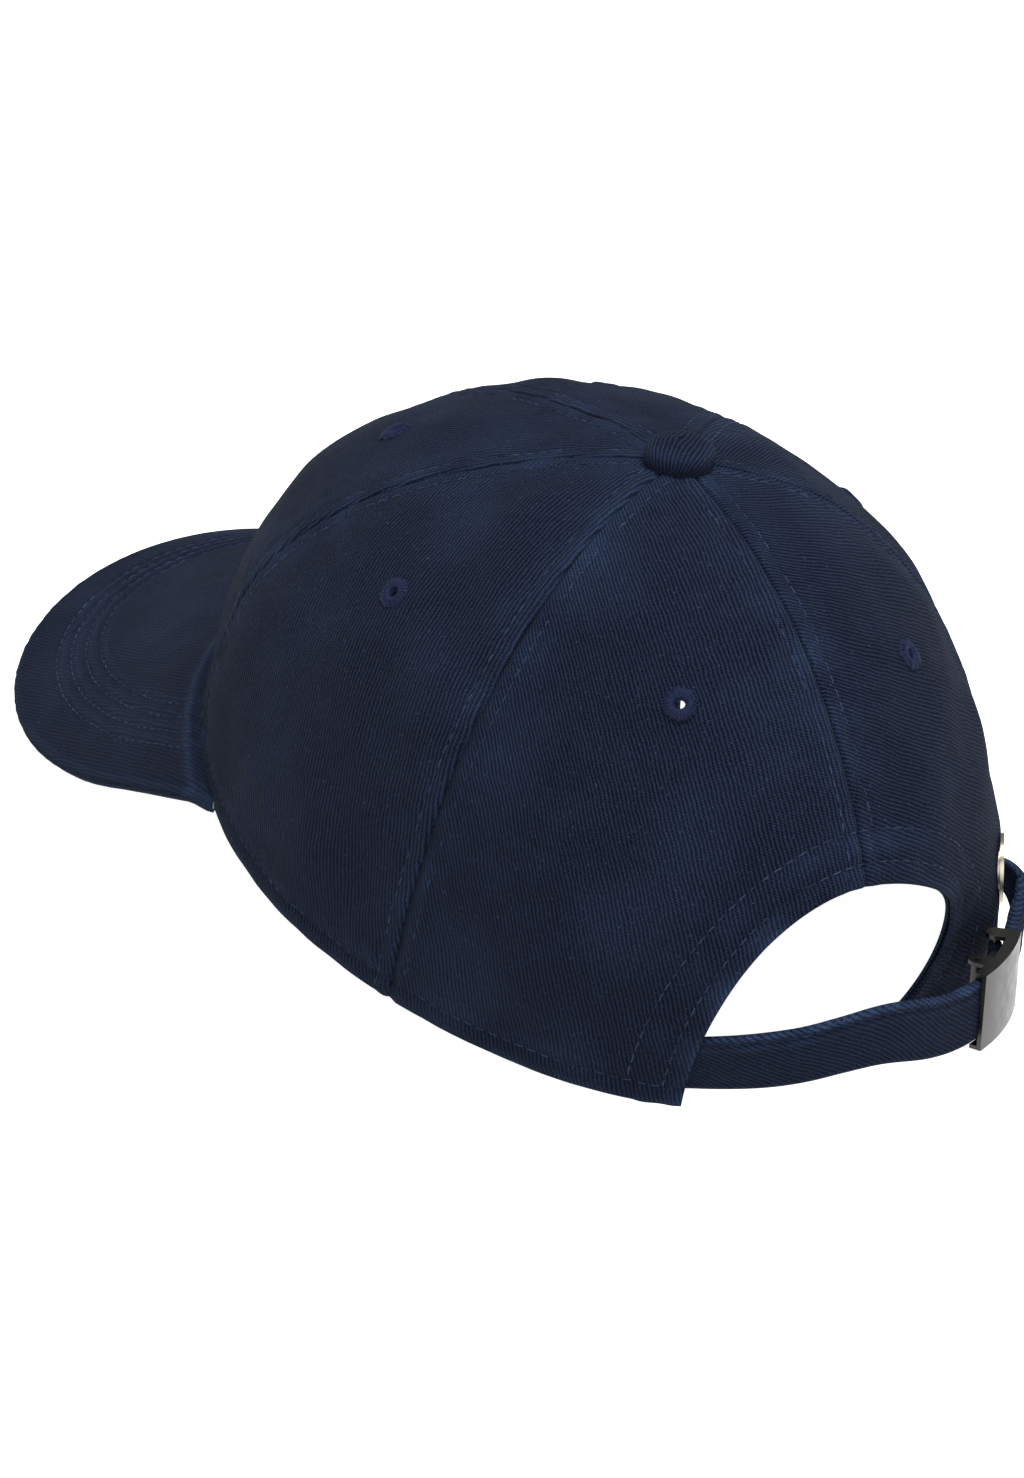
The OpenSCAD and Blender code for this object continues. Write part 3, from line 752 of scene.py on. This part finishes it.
def eyelet(name, spot, seed):
    """A worked hole: a padded ring through the cloth, and threads laid over it side by side."""
    rng = np.random.default_rng(seed)
    centre, axis = outer(*spot), crown_normal(*spot)
    side = unit(np.cross((0, 0, 1), axis))
    up = np.cross(axis, side)
    turns = np.linspace(0, 360, 41)[:-1]
    radii = np.concatenate([[eyelet_hole] * 3, np.linspace(eyelet_hole, eyelet_reach, 9)])
    rise = np.concatenate([[-cloth - 0.5, -0.8, -0.2], eyelet_height(radii[3:]) - 0.12])
    radii = np.concatenate([radii, [eyelet_reach, 2.2, eyelet_hole + 0.3]])
    rise = np.concatenate([rise, [-0.4, -cloth - 0.3, -cloth - 0.6]])
    ring = np.stack([
        centre + r * (cosd(turns)[:, None] * side + sind(turns)[:, None] * up) + z * axis
        for r, z in zip(radii, rise)
    ])
    k, n = ring.shape[:2]
    verts = ring.reshape(-1, 3)
    faces = [
        [i * n + j, i * n + (j + 1) % n, ((i + 1) % k) * n + (j + 1) % n, ((i + 1) % k) * n + j]
        for i in range(k) for j in range(n)
    ]
    count, verts = len(verts), [verts]
    for t in 360 * (np.arange(eyelet_threads) + rng.uniform(-0.25, 0.25, eyelet_threads)) / eyelet_threads:
        end = eyelet_reach + rng.uniform(-0.35, 0.45)
        r = np.concatenate([[eyelet_hole + 0.02] * 2, np.linspace(eyelet_hole + 0.05, end, 7)])
        z = np.concatenate([[-1.3, -0.5], eyelet_height(r[2:]) * np.array((1, 1, 1, 1, 1, 0.8, 0.1))])
        lean = t + rng.uniform(-3, 3) * np.linspace(0, 1, len(r))
        path = centre + r[:, None] * (cosd(lean)[:, None] * side + sind(lean)[:, None] * up)
        path = path + z[:, None] * axis
        thick = np.full(len(r), 0.2) * (0.8 + 0.1 * r)
        v, f = tube(path, np.broadcast_to(axis, path.shape) + 0.01 * side, thick, 5)
        verts.append(v)
        faces += [[i + count for i in face] for face in f]
        count += len(v)
    piece(f"{name}_silk", np.concatenate(verts), faces, silk, "cap", [name])


for n, (where, (a, v)) in enumerate(eyelet_spots.items()):
    eyelet(f"eyelet_{where}_left", (a, v), 41 + n)
    eyelet(f"eyelet_{where}_right", (-a, v), 51 + n)

# ---------------------------------------------------------------- Button
# A pressed steel shell covered with a disc of the crown's twill, gathered under the shell.
# Its rivet goes down through the meeting point of the six seams.
button_r, button_high, button_cols = 7.75, 5.3, 96
brim_z, dome_power, cover_thick = 0.9, 0.75, 0.5
apex = np.array((0, back_shift + apex_back, crown_height))

# drop is 0 at the middle of the cover, 1 at its brim, and runs on down its gathered skirt
drop = np.concatenate([np.linspace(0.02, 1, 26), 1 + np.linspace(0.1, 0.55, 8)])
around = np.linspace(0, 360, button_cols + 1)[:-1]
top, skirt = np.minimum(drop, 1), np.maximum(drop, 1) - 1
profile_r = button_r * np.where(drop <= 1, sind(90 * top) ** dome_power, 1 - 0.12 * skirt)
dome = brim_z + (button_high - brim_z) * cosd(90 * top) ** dome_power
profile_z = np.where(drop <= 1, dome, brim_z - 3.8 * skirt)
gather = 0.1 * np.sin(np.radians(around) * 17 + 0.6) + 0.08 * np.sin(np.radians(around) * 29)
lumps = 0.16 * np.sin(np.radians(around) * 2 + 0.8) + 0.1 * np.sin(np.radians(around) * 3 + 2)
low = np.clip((drop - 0.85) / 0.5, 0, 1)[:, None]
spread_r = profile_r[:, None] + low * gather + top[:, None] ** 2 * lumps
button_at = apex + np.stack([
    spread_r * cosd(around), spread_r * sind(around), np.broadcast_to(profile_z[:, None], spread_r.shape),
], -1)
length = np.concatenate([[0.1], np.cumsum(np.hypot(np.diff(profile_r), np.diff(profile_z)))])
button_weave = np.stack([length[:, None] * cosd(around + 50), length[:, None] * sind(around + 50)], -1)
button_worn = np.broadcast_to(0.25 * bump(drop, 0.7, 0.25)[:, None], spread_r.shape)
button_inner = button_at - cover_thick * unit(button_at - apex + np.array((0, 0, 2.0)))
k, n = spread_r.shape
button_faces = []
for start in (0, k * n):
    for i in range(k - 1):
        for j in range(n):
            a, b = start + i * n, (j + 1) % n
            button_faces.append([a + j, a + n + j, a + n + b, a + b])
    button_faces.append(list(range(start, start + n)))
hem, inner_hem = (k - 1) * n, (2 * k - 1) * n
button_faces += [[hem + j, inner_hem + j, inner_hem + (j + 1) % n, hem + (j + 1) % n] for j in range(n)]
button_cover = piece(
    "button_cover_cloth", np.concatenate([button_at.reshape(-1, 3), button_inner.reshape(-1, 3)]),
    button_faces, crown_twill, "cap", ["button_cover"],
    np.concatenate([button_weave.reshape(-1, 2)] * 2), np.concatenate([button_worn.ravel()] * 2),
)

# ---------------------------------------------------------------- Visor
# Two covers of brushed cotton twill over a bent board, seamed together round the outer edge
# and turned right side out. Four rows of stitching go through all the layers along the edge.
# the outline is a squared half ellipse; its root follows the rim to visor_end degrees each side
visor_end, visor_edge_end, visor_pull_in, visor_square = 67.0, 97.0, 0.05, 0.7836
visor_half_wid, visor_wide_line, visor_reach = 80.5, 61.1, 114.7
# it bends down across its width, falls towards its tip and meets the crown just over the rim
visor_z, visor_bend, visor_fall, visor_gap, visor_step = 38.2, 0.0053, 0.3085, 0.4, 1.4
visor_half, board_half, board, visor_tuck = 1.7, 0.92, 0.85, 1.0
visor_needles, visor_ridges = (10.8, 14.6, 18.5, 22.3), (12.7, 16.5, 20.4)
visor_cols, visor_rows, edge_turns, seam_nip = 240, 118, (25, 45, 62, 76, 90), 0.93
# its first colour is the painted shade between the ribs
brushed_twill = washed_twill("brushed_cotton_twill", "090D19", "27314C", "3D5174", contrast=0.5)

visor_s = np.linspace(-1, 1, visor_cols + 1)
edge_q = visor_edge_end * visor_s
edge_pull = visor_pull_in * (np.maximum(np.abs(edge_q) - 80, 0) / (visor_edge_end - 80)) ** 2
edge_x = visor_half_wid * np.sign(edge_q) * np.abs(sind(edge_q)) ** visor_square * (1 - edge_pull)
edge_y = -visor_wide_line - visor_reach * np.sign(cosd(edge_q)) * np.abs(cosd(edge_q)) ** visor_square
tip = np.stack([edge_x, edge_y], -1)
root_a = visor_end * visor_s
root = crown(root_a, 0.0)[:, :2] - (0, back_shift)
root_out = unit(crown_normal(root_a, 0.02)[:, :2])
along_edge = unit(np.gradient(tip, axis=0))
edge_out = np.stack([along_edge[:, 1], -along_edge[:, 0]], -1)
edge_out *= np.sign(np.sum(edge_out * (tip - root), axis=1))[visor_cols // 2]
edge_r = np.minimum(visor_half, 0.4 * np.linalg.norm(tip - root, axis=1))
roll = tip - edge_r[:, None] * edge_out


def visor_height(x, y):
    """Height of the bent board's face, as if it ran on under the crown."""
    return visor_z - visor_bend * x * x - visor_fall * (-y - crown_half_len)


def visor_middle(w):
    """Points halfway through the visor, share w of the way from the crown to its rolled edge."""
    start = root - visor_tuck * root_out
    plan = start + (roll - start) * w[:, None, None]
    fix = rim_z(root_a) + visor_step - visor_height(root[:, 0], root[:, 1])
    full = tip - root - visor_gap * root_out
    part = np.sum((plan - root - visor_gap * root_out) * full, axis=-1) / np.sum(full * full, axis=-1)
    share = np.maximum((1 - np.clip(part, 0, 1)) ** 2, np.clip((np.abs(visor_s) - 0.9) / 0.1, 0, 1))
    z = visor_height(plan[..., 0], plan[..., 1]) + fix * share - visor_half
    return np.stack([plan[..., 0], plan[..., 1] + back_shift, z], -1)


visor_w = np.concatenate([np.linspace(0, 0.55, 36)[:-1], np.linspace(0.55, 1, visor_rows - 35)])
visor_mid = visor_middle(visor_w)
edge_line = visor_mid[-1] + np.concatenate([edge_r[:, None] * edge_out, np.zeros((visor_cols + 1, 1))], 1)
from_edge = off_line(visor_mid, edge_line)
from_root = off_line(visor_mid, crown(root_a, 0.0) + (0, 0, visor_step - visor_half))
slope = 2 * visor_bend * visor_mid[..., 0]
visor_weave = np.stack([
    (visor_mid[..., 0] * np.sqrt(1 + slope ** 2) + np.arcsinh(slope) / (2 * visor_bend)) / 2,
    visor_mid[..., 1] * (1 + visor_fall ** 2) ** 0.5,
], -1)
visor_weave = np.concatenate([visor_weave, np.stack([
    visor_weave[-1] + 0.5 * (k + 1) * edge_out for k in range(len(edge_turns))
])])
upright = np.array((0, 0, 1.0))


def visor_cover(name, side, seed):
    """The upper (1) or lower (-1) cover, with its grooves, its edge roll and its stitches."""
    pucker = ripple(visor_mid, 5, seed)
    calm = np.clip((from_edge - edge_r) / 4, 0, 1)
    rise = calm * (0.2 * ripple(visor_mid, 34, seed + 1) + 0.07 * ripple(visor_mid, 10, seed + 2))
    worn = 0.4 * bump(from_edge, 0.2, 0.9) + 0.12 * np.clip(ripple(visor_mid, 25, seed + 3), 0, 1)
    # grooves pulled by the stitches, and the ridges that stand up between them
    for row in visor_needles:
        rise += -(0.3 + 0.1 * pucker) * bump(from_edge, row, 0.6) * np.clip(from_root / 4, 0.2, 1)
        worn += 0.16 * (1 + 0.5 * pucker) * bump(from_edge, row + 1.2, 0.6)
    for ridge in visor_ridges:
        rise += (0.16 + 0.1 * pucker) * bump(from_edge, ridge, 1.2)
    rise += 0.1 * calm * bump(from_edge, 7, 4)
    if side > 0:
        rise += 0.75 * bump(from_root, 3.4, 1.6) * np.clip(from_edge / 8, 0, 1)
        worn += 0.5 * bump(from_root, 3.6, 1.1)
    face = visor_mid + side * (visor_half + rise)[..., None] * upright
    back = visor_mid + side * board_half * upright
    out = np.concatenate([edge_out, np.zeros((visor_cols + 1, 1))], 1)
    fuzz = 1 + 0.06 * ripple(edge_line, 3, seed + 4)
    turned = [
        visor_mid[-1] + (edge_r * sind(t) * fuzz * (seam_nip if t == 90 else 1))[:, None] * out
        + side * visor_half * cosd(t) * upright
        for t in edge_turns
    ]
    inner = [
        visor_mid[-1] + (0.55 * edge_r * sind(t))[:, None] * out + side * board_half * cosd(t) * upright
        for t in edge_turns
    ]
    face, back = np.concatenate([face, turned]), np.concatenate([back, inner])
    worn = np.clip(np.concatenate([worn, np.repeat(worn[-1:] + 0.1, len(edge_turns), 0)]), 0, 1)
    made = two_faced(
        f"{name}_cloth", face, back, brushed_twill, "cap", name, visor_weave, worn,
    )
    # the rows of stitching, each at its needle's distance in from the rolled edge
    lines = []
    normal = side * unit(np.cross(np.gradient(face, axis=1), np.gradient(face, axis=0)))
    normal *= np.sign(side * normal[visor_rows // 3, visor_cols // 2, 2])
    for row in visor_needles:
        spots, ups = [], []
        for j in range(visor_cols + 1):
            off = from_edge[::-1, j]
            if off[-1] < row + 0.5:
                continue
            k = np.interp(row, off, np.arange(visor_rows, visor_rows - len(off), -1.0) - 1)
            low, part = int(k), k - int(k)
            spots.append(face[low, j] * (1 - part) + face[low + 1, j] * part)
            ups.append(normal[low, j])
        lines.append((np.array(spots), np.array(ups)))
    sewn(f"{name}_stitches", lines, seed + 5)


visor_cover("visor_top_cover", 1, 61)
visor_cover("visor_under_cover", -1, 71)


def moulded_board():
    """Die cut sheet of white high density polyethylene: waxy, smooth, with fine mill lines."""
    material, tree = empty_material("polyethylene_sheet")
    spots = put(tree, "TexCoord").outputs["Object"]
    lines = put(tree, "TexNoise", [("Vector", spots), ("Scale", 420.0), ("Detail", 2.0)])
    colour = put(tree, "Mix", [
        ("Factor", lines), ("A", srgb("D9D9D6")), ("B", srgb("EFEFEC")),
    ], data_type="RGBA")
    bumps = put(tree, "Bump", [
        ("Strength", 0.2), ("Distance", 0.05 * MM), ("Height", lines),
    ])
    shader = put(tree, "BsdfPrincipled", [
        ("Base Color", colour.outputs["Result"]), ("Normal", bumps), ("Roughness", 0.45),
        ("IOR", 1.54),
    ])
    finish_material(tree, shader)
    return material


def refinish(node, material, rounding=0.0):
    """Gives a carried-over part its real finish, and a small radius on its edges."""
    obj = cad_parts[node]
    for k in range(len(obj.material_slots)):
        obj.material_slots[k].material = material
    if rounding:
        bevel = obj.modifiers.new("rounding", "BEVEL")
        bevel.width, bevel.segments, bevel.limit_method = rounding * MM, 2, "ANGLE"
        bevel.angle_limit = math.radians(40)


# the board stops short of the crown seam and of the rolled edge
board_mid = visor_mid[3:-9]
two_faced(
    "visor_board_sheet", board_mid + board * upright, board_mid - board * upright, moulded_board(),
    "cap", "visor_board",
)

# ---------------------------------------------------------------- Strap
# A strip of the crown's twill folded in three, with a rolled and stitched top edge. It is sewn
# inside the left foot of the arch, goes through the buckle, and its tail tucks into a grommet.
strap_r, strap_half, strap_thick, strap_level = 56.0, 7.0, 2.0, 12.2
strap_from, tail_from, strap_needle = -52.0, 54.0, 1.9
bow_high, bow_at, bow_wide, strap_tilt = 2.8, -3.0, 14.0, 0.27
strap_dip, dip_from, dip_span = 4.2, -14.0, 38.0
# the tail's own stations: angle round the strap's centre, radius, height and half width
tail = (
    (57, 56.4, 13, 7), (60, 57.2, 14.4, 7), (63, 58.2, 16.4, 6.8), (66, 59, 19, 5.8),
    (69, 59, 21.8, 4), (71, 58, 23.6, 3), (72.5, 56.3, 24.6, 2.8), (73.8, 54.5, 24.9, 2.8),
    (75.4, 53, 25, 3), (78, 52.6, 25.2, 3.4), (81, 53.4, 25.8, 4), (84, 54.6, 26.4, 4.2),
)


def curve_through(keys, steps):
    """Points on a smooth curve through rows of numbers."""
    k = np.concatenate([keys[:1], keys, keys[-1:]])
    t = np.linspace(0, 1, steps + 1)[:-1, None]
    parts = [
        0.5 * (2 * b + (c - a) * t + (2 * a - 5 * b + 4 * c - d) * t ** 2 + (3 * b - a - 3 * c + d) * t ** 3)
        for a, b, c, d in zip(k[:-3], k[1:-2], k[2:-1], k[3:])
    ]
    return np.concatenate(parts + [keys[-1:]])


def on_arc(angle, radius, z):
    """Points round the strap's centre."""
    return np.stack([
        strap_centre[0] - radius * sind(angle), strap_centre[1] + radius * cosd(angle) + back_shift,
        z + 0 * angle,
    ], -1)


arc = np.linspace(strap_from, tail_from, 37)
sag = strap_dip * np.maximum((dip_from - arc) / dip_span, 0) ** 1.2
height = strap_level + bow_high * bump(arc, bow_at, bow_wide) - sag
stations = np.stack([arc, strap_r + 0 * arc, height, strap_half + 0 * arc], -1)
stations = curve_through(np.concatenate([stations, np.array(tail)]), 6)
strap_line = on_arc(stations[:, 0], stations[:, 1], stations[:, 2])
way = unit(np.gradient(strap_line, axis=0))
outward = unit(np.stack([way[:, 1], -way[:, 0], 0 * way[:, 0]], -1))
strap_up = unit(np.cross(way, outward))
strap_up *= np.sign(strap_up[60, 2])
sewn_end = np.clip((10 - stations[:, 0]) / 55, 0, 1)[:, None]
strap_up = unit(strap_up + strap_tilt * sewn_end * outward)
strap_w = sind(np.linspace(-90, 90, 31))
half_wide = stations[:, 3]
curl = 0.42 * np.sqrt(np.maximum(strap_half ** 2 - half_wide ** 2, 0))
off_edge = (1 - np.abs(strap_w))[:, None] * half_wide[None, :]
flat_mid = strap_line + strap_w[:, None, None] * half_wide[:, None] * strap_up
flat_mid = flat_mid + ((0.5 - strap_w[:, None] ** 2) * curl)[..., None] * outward
puckers = ripple(flat_mid, 5, 81)
# the folded strap is rounded off at both edges, with a thicker roll along the top one
swell = strap_thick / 2 * np.clip(off_edge / 0.8, 0.16, 1) ** 0.5
rolled = strap_w[:, None] > 0
swell = swell - (0.16 + 0.06 * puckers) * bump(off_edge, strap_needle, 0.6)
roll_up = (0.5 + 0.14 * puckers) * bump(off_edge, 0.9, 0.7) - 0.3 * bump(off_edge, strap_needle, 0.5)
swell = swell + rolled * roll_up
wave = 0.25 * ripple(flat_mid, 24, 82)
strap_face = flat_mid + (swell + wave)[..., None] * outward
strap_back = flat_mid - (swell - wave)[..., None] * outward
run = length_along(strap_line)
lay_x, lay_y = np.broadcast_to(run, off_edge.shape), strap_half * strap_w[:, None] + 0 * run
strap_worn = rolled * (0.35 * bump(off_edge, 0.9, 0.6) + 0.5 * bump(off_edge, 3.2, 0.8))
strap_worn = strap_worn + 0.5 * bump(off_edge, 0.2, 0.5)
strap_worn = np.clip(strap_worn * (0.7 + 0.4 * puckers) + 0.12, 0, 1)
strap = two_faced(
    "strap_cloth", strap_face, strap_back, crown_twill, "cap", "strap",
    turned_weave(lay_x, lay_y, 58), strap_worn,
)
strap_row = np.stack([
    [np.interp(at, strap_w, strap_face[:, j, i]) for i in range(3)]
    for j, at in enumerate(1 - strap_needle / half_wide)
])
sewn("strap_stitches", [(strap_row, outward)], 15)

# ---------------------------------------------------------------- Grommet and button fittings
# A brass grommet and washer, nickel plated and pressed together through the cloth, and the
# steel shell and rivet under the covered button.


def plated(name, dark, light, rough_low, rough_high):
    """Electroplated metal, tumbled before plating: a soft gloss with hairline scratches and
    slightly duller patches where fingers and cloth rub it."""
    material, tree = empty_material(name)
    spots = put(tree, "TexCoord").outputs["Object"]
    patch = put(tree, "TexNoise", [("Vector", spots), ("Scale", 260.0), ("Detail", 4.0)])
    squeeze = put(tree, "Mapping", [
        ("Vector", spots), ("Scale", (1.0, 0.12, 1.0)), ("Rotation", (0, 0.4, 0.7)),
    ])
    hair = put(tree, "TexNoise", [("Vector", squeeze), ("Scale", 6000.0), ("Detail", 2.0)])
    colour = put(tree, "Mix", [
        ("Factor", patch), ("A", srgb(dark)), ("B", srgb(light)),
    ], data_type="RGBA")
    rough = put(tree, "MapRange", [
        ("Value", patch), ("From Min", 0.3), ("From Max", 0.7),
        ("To Min", rough_low), ("To Max", rough_high),
    ])
    bumps = put(tree, "Bump", [
        ("Strength", 0.25), ("Distance", 0.02 * MM), ("Height", hair),
    ])
    shader = put(tree, "BsdfPrincipled", [
        ("Base Color", colour.outputs["Result"]), ("Normal", bumps),
        ("Roughness", rough), ("Metallic", 1.0),
    ])
    finish_material(tree, shader)
    return material


nickel = plated("nickel_plated_brass", "A89F90", "CBC3B4", 0.22, 0.4)
for node, rounding in (("grommet", 0.25), ("grommet_washer", 0.12), ("button_shell", 0), ("button_rivet", 0)):
    refinish(node, nickel, rounding)

# ---------------------------------------------------------------- Buckle
# A bent steel plate with side flanges, a pin and a clamping lever behind it, all finished in
# dark gunmetal plating. A doubled tab of twill goes round its bar and is sewn to the cap.
gunmetal = plated("gunmetal_plated_steel", "3B3A3C", "55534F", 0.26, 0.42)
for node, rounding in (("buckle_plate", 0.18), ("hinge_pin", 0.12), ("clamp_lever", 0.2)):
    refinish(node, gunmetal, rounding)

bar_angle, bar_reach, bar_loop = 48.0, 53.2, 1.25
tab_half, tab_ply, tab_len, tab_turn, tab_gap = 6.4, 0.55, 12.0, 8.0, 0.31
# seen from above, the tab runs in along one ply, round the bar and back along the other
bend = np.linspace(205, 515, 26)
leg = np.linspace(tab_len, 2.2, 12)
tab_path = np.concatenate([
    np.stack([-leg, -tab_gap - 0.1 * bump(leg, 2.2, 1.5)], -1),
    bar_loop * np.stack([cosd(bend), sind(bend)], -1),
    np.stack([-leg[::-1], tab_gap + 0.1 * bump(leg[::-1], 2.2, 1.5)], -1),
])
turned = np.radians(tab_turn + bar_angle)
tab_plan = tab_path @ np.array(((np.cos(turned), np.sin(turned)), (-np.sin(turned), np.cos(turned))))
tab_side = unit(np.gradient(tab_plan, axis=0))
tab_side = np.stack([tab_side[:, 1], -tab_side[:, 0], 0 * tab_side[:, 0]], -1)
bar_at = on_arc(np.array(bar_angle), bar_reach, strap_level)
tab_z = tab_half * sind(np.linspace(-90, 90, 17))
tab_mid = bar_at + np.concatenate([tab_plan, np.zeros((len(tab_plan), 1))], 1)[:, None, :]
tab_mid = tab_mid + tab_z[:, None] * upright
tab_swell = tab_ply / 2 * np.clip((tab_half - np.abs(tab_z)) / 0.5, 0.3, 1) ** 0.5
tab_face = tab_mid + tab_swell[:, None] * tab_side[:, None, :]
tab_back = tab_mid - tab_swell[:, None] * tab_side[:, None, :]
tab_run = length_along(tab_plan)
tab_weave = np.stack([tab_run[:, None] + 0.6 * tab_z, tab_z - 0.6 * tab_run[:, None]], -1)
tab = two_faced(
    "buckle_tab_cloth", tab_face, tab_back, crown_twill, None, "buckle_tab",
    tab_weave, np.full(tab_weave.shape[:2], 0.1),
)
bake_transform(tab)

# ---------------------------------------------------------------- Floor and light
# A sheet of white card lit from below as well as above, under a large overhead soft box with
# a weaker one in front, so the cap's shadow on it stays faint.
card, tree = empty_material("white_card")
grain = put(tree, "TexNoise", [("Scale", 700.0), ("Detail", 2.0)])
paper = put(tree, "Mix", [
    ("Factor", grain), ("A", srgb("F1F1F1")), ("B", srgb("F7F7F7")),
], data_type="RGBA")
finish_material(tree, put(tree, "BsdfPrincipled", [
    ("Base Color", paper.outputs["Result"]), ("Roughness", 0.9), ("Specular IOR Level", 0.1),
    ("Emission Color", srgb("FFFFFF")), ("Emission Strength", 0.95),
]))
floor_half = 40
floor_mesh = bpy.data.meshes.new("floor")
corners = ((-1, -1), (1, -1), (1, 1), (-1, 1))
floor_mesh.from_pydata([(x * floor_half, y * floor_half, 0) for x, y in corners], [], [(0, 1, 2, 3)])
floor_mesh.materials.append(card)
floor = bpy.data.objects.new("floor", floor_mesh)
bpy.context.collection.objects.link(floor)
floor.visible_diffuse = False
floor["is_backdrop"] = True


def soft_box(name, at, size, power):
    """A round diffused light that faces the cap."""
    light = bpy.data.lights.new(name, "AREA")
    light.shape, light.size, light.energy = "DISK", size, power
    obj = bpy.data.objects.new(name, light)
    obj.location = at
    obj.rotation_euler = (look_at - Vector(at)).to_track_quat("-Z", "Y").to_euler()
    bpy.context.collection.objects.link(obj)


soft_box("overhead_box", (-0.1, 0.3, 1.5), 0.9, 15)
soft_box("front_fill", (0.9, 1.5, 0.8), 1.4, 10)
world = bpy.data.worlds.new("pale_room")
world.use_nodes = True
world.node_tree.nodes["Background"].inputs["Color"].default_value = (0.93, 0.96, 1, 1)
world.node_tree.nodes["Background"].inputs["Strength"].default_value = 0.3
bpy.context.scene.world = world
bpy.context.scene.view_settings.view_transform = "Standard"

low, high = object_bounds()
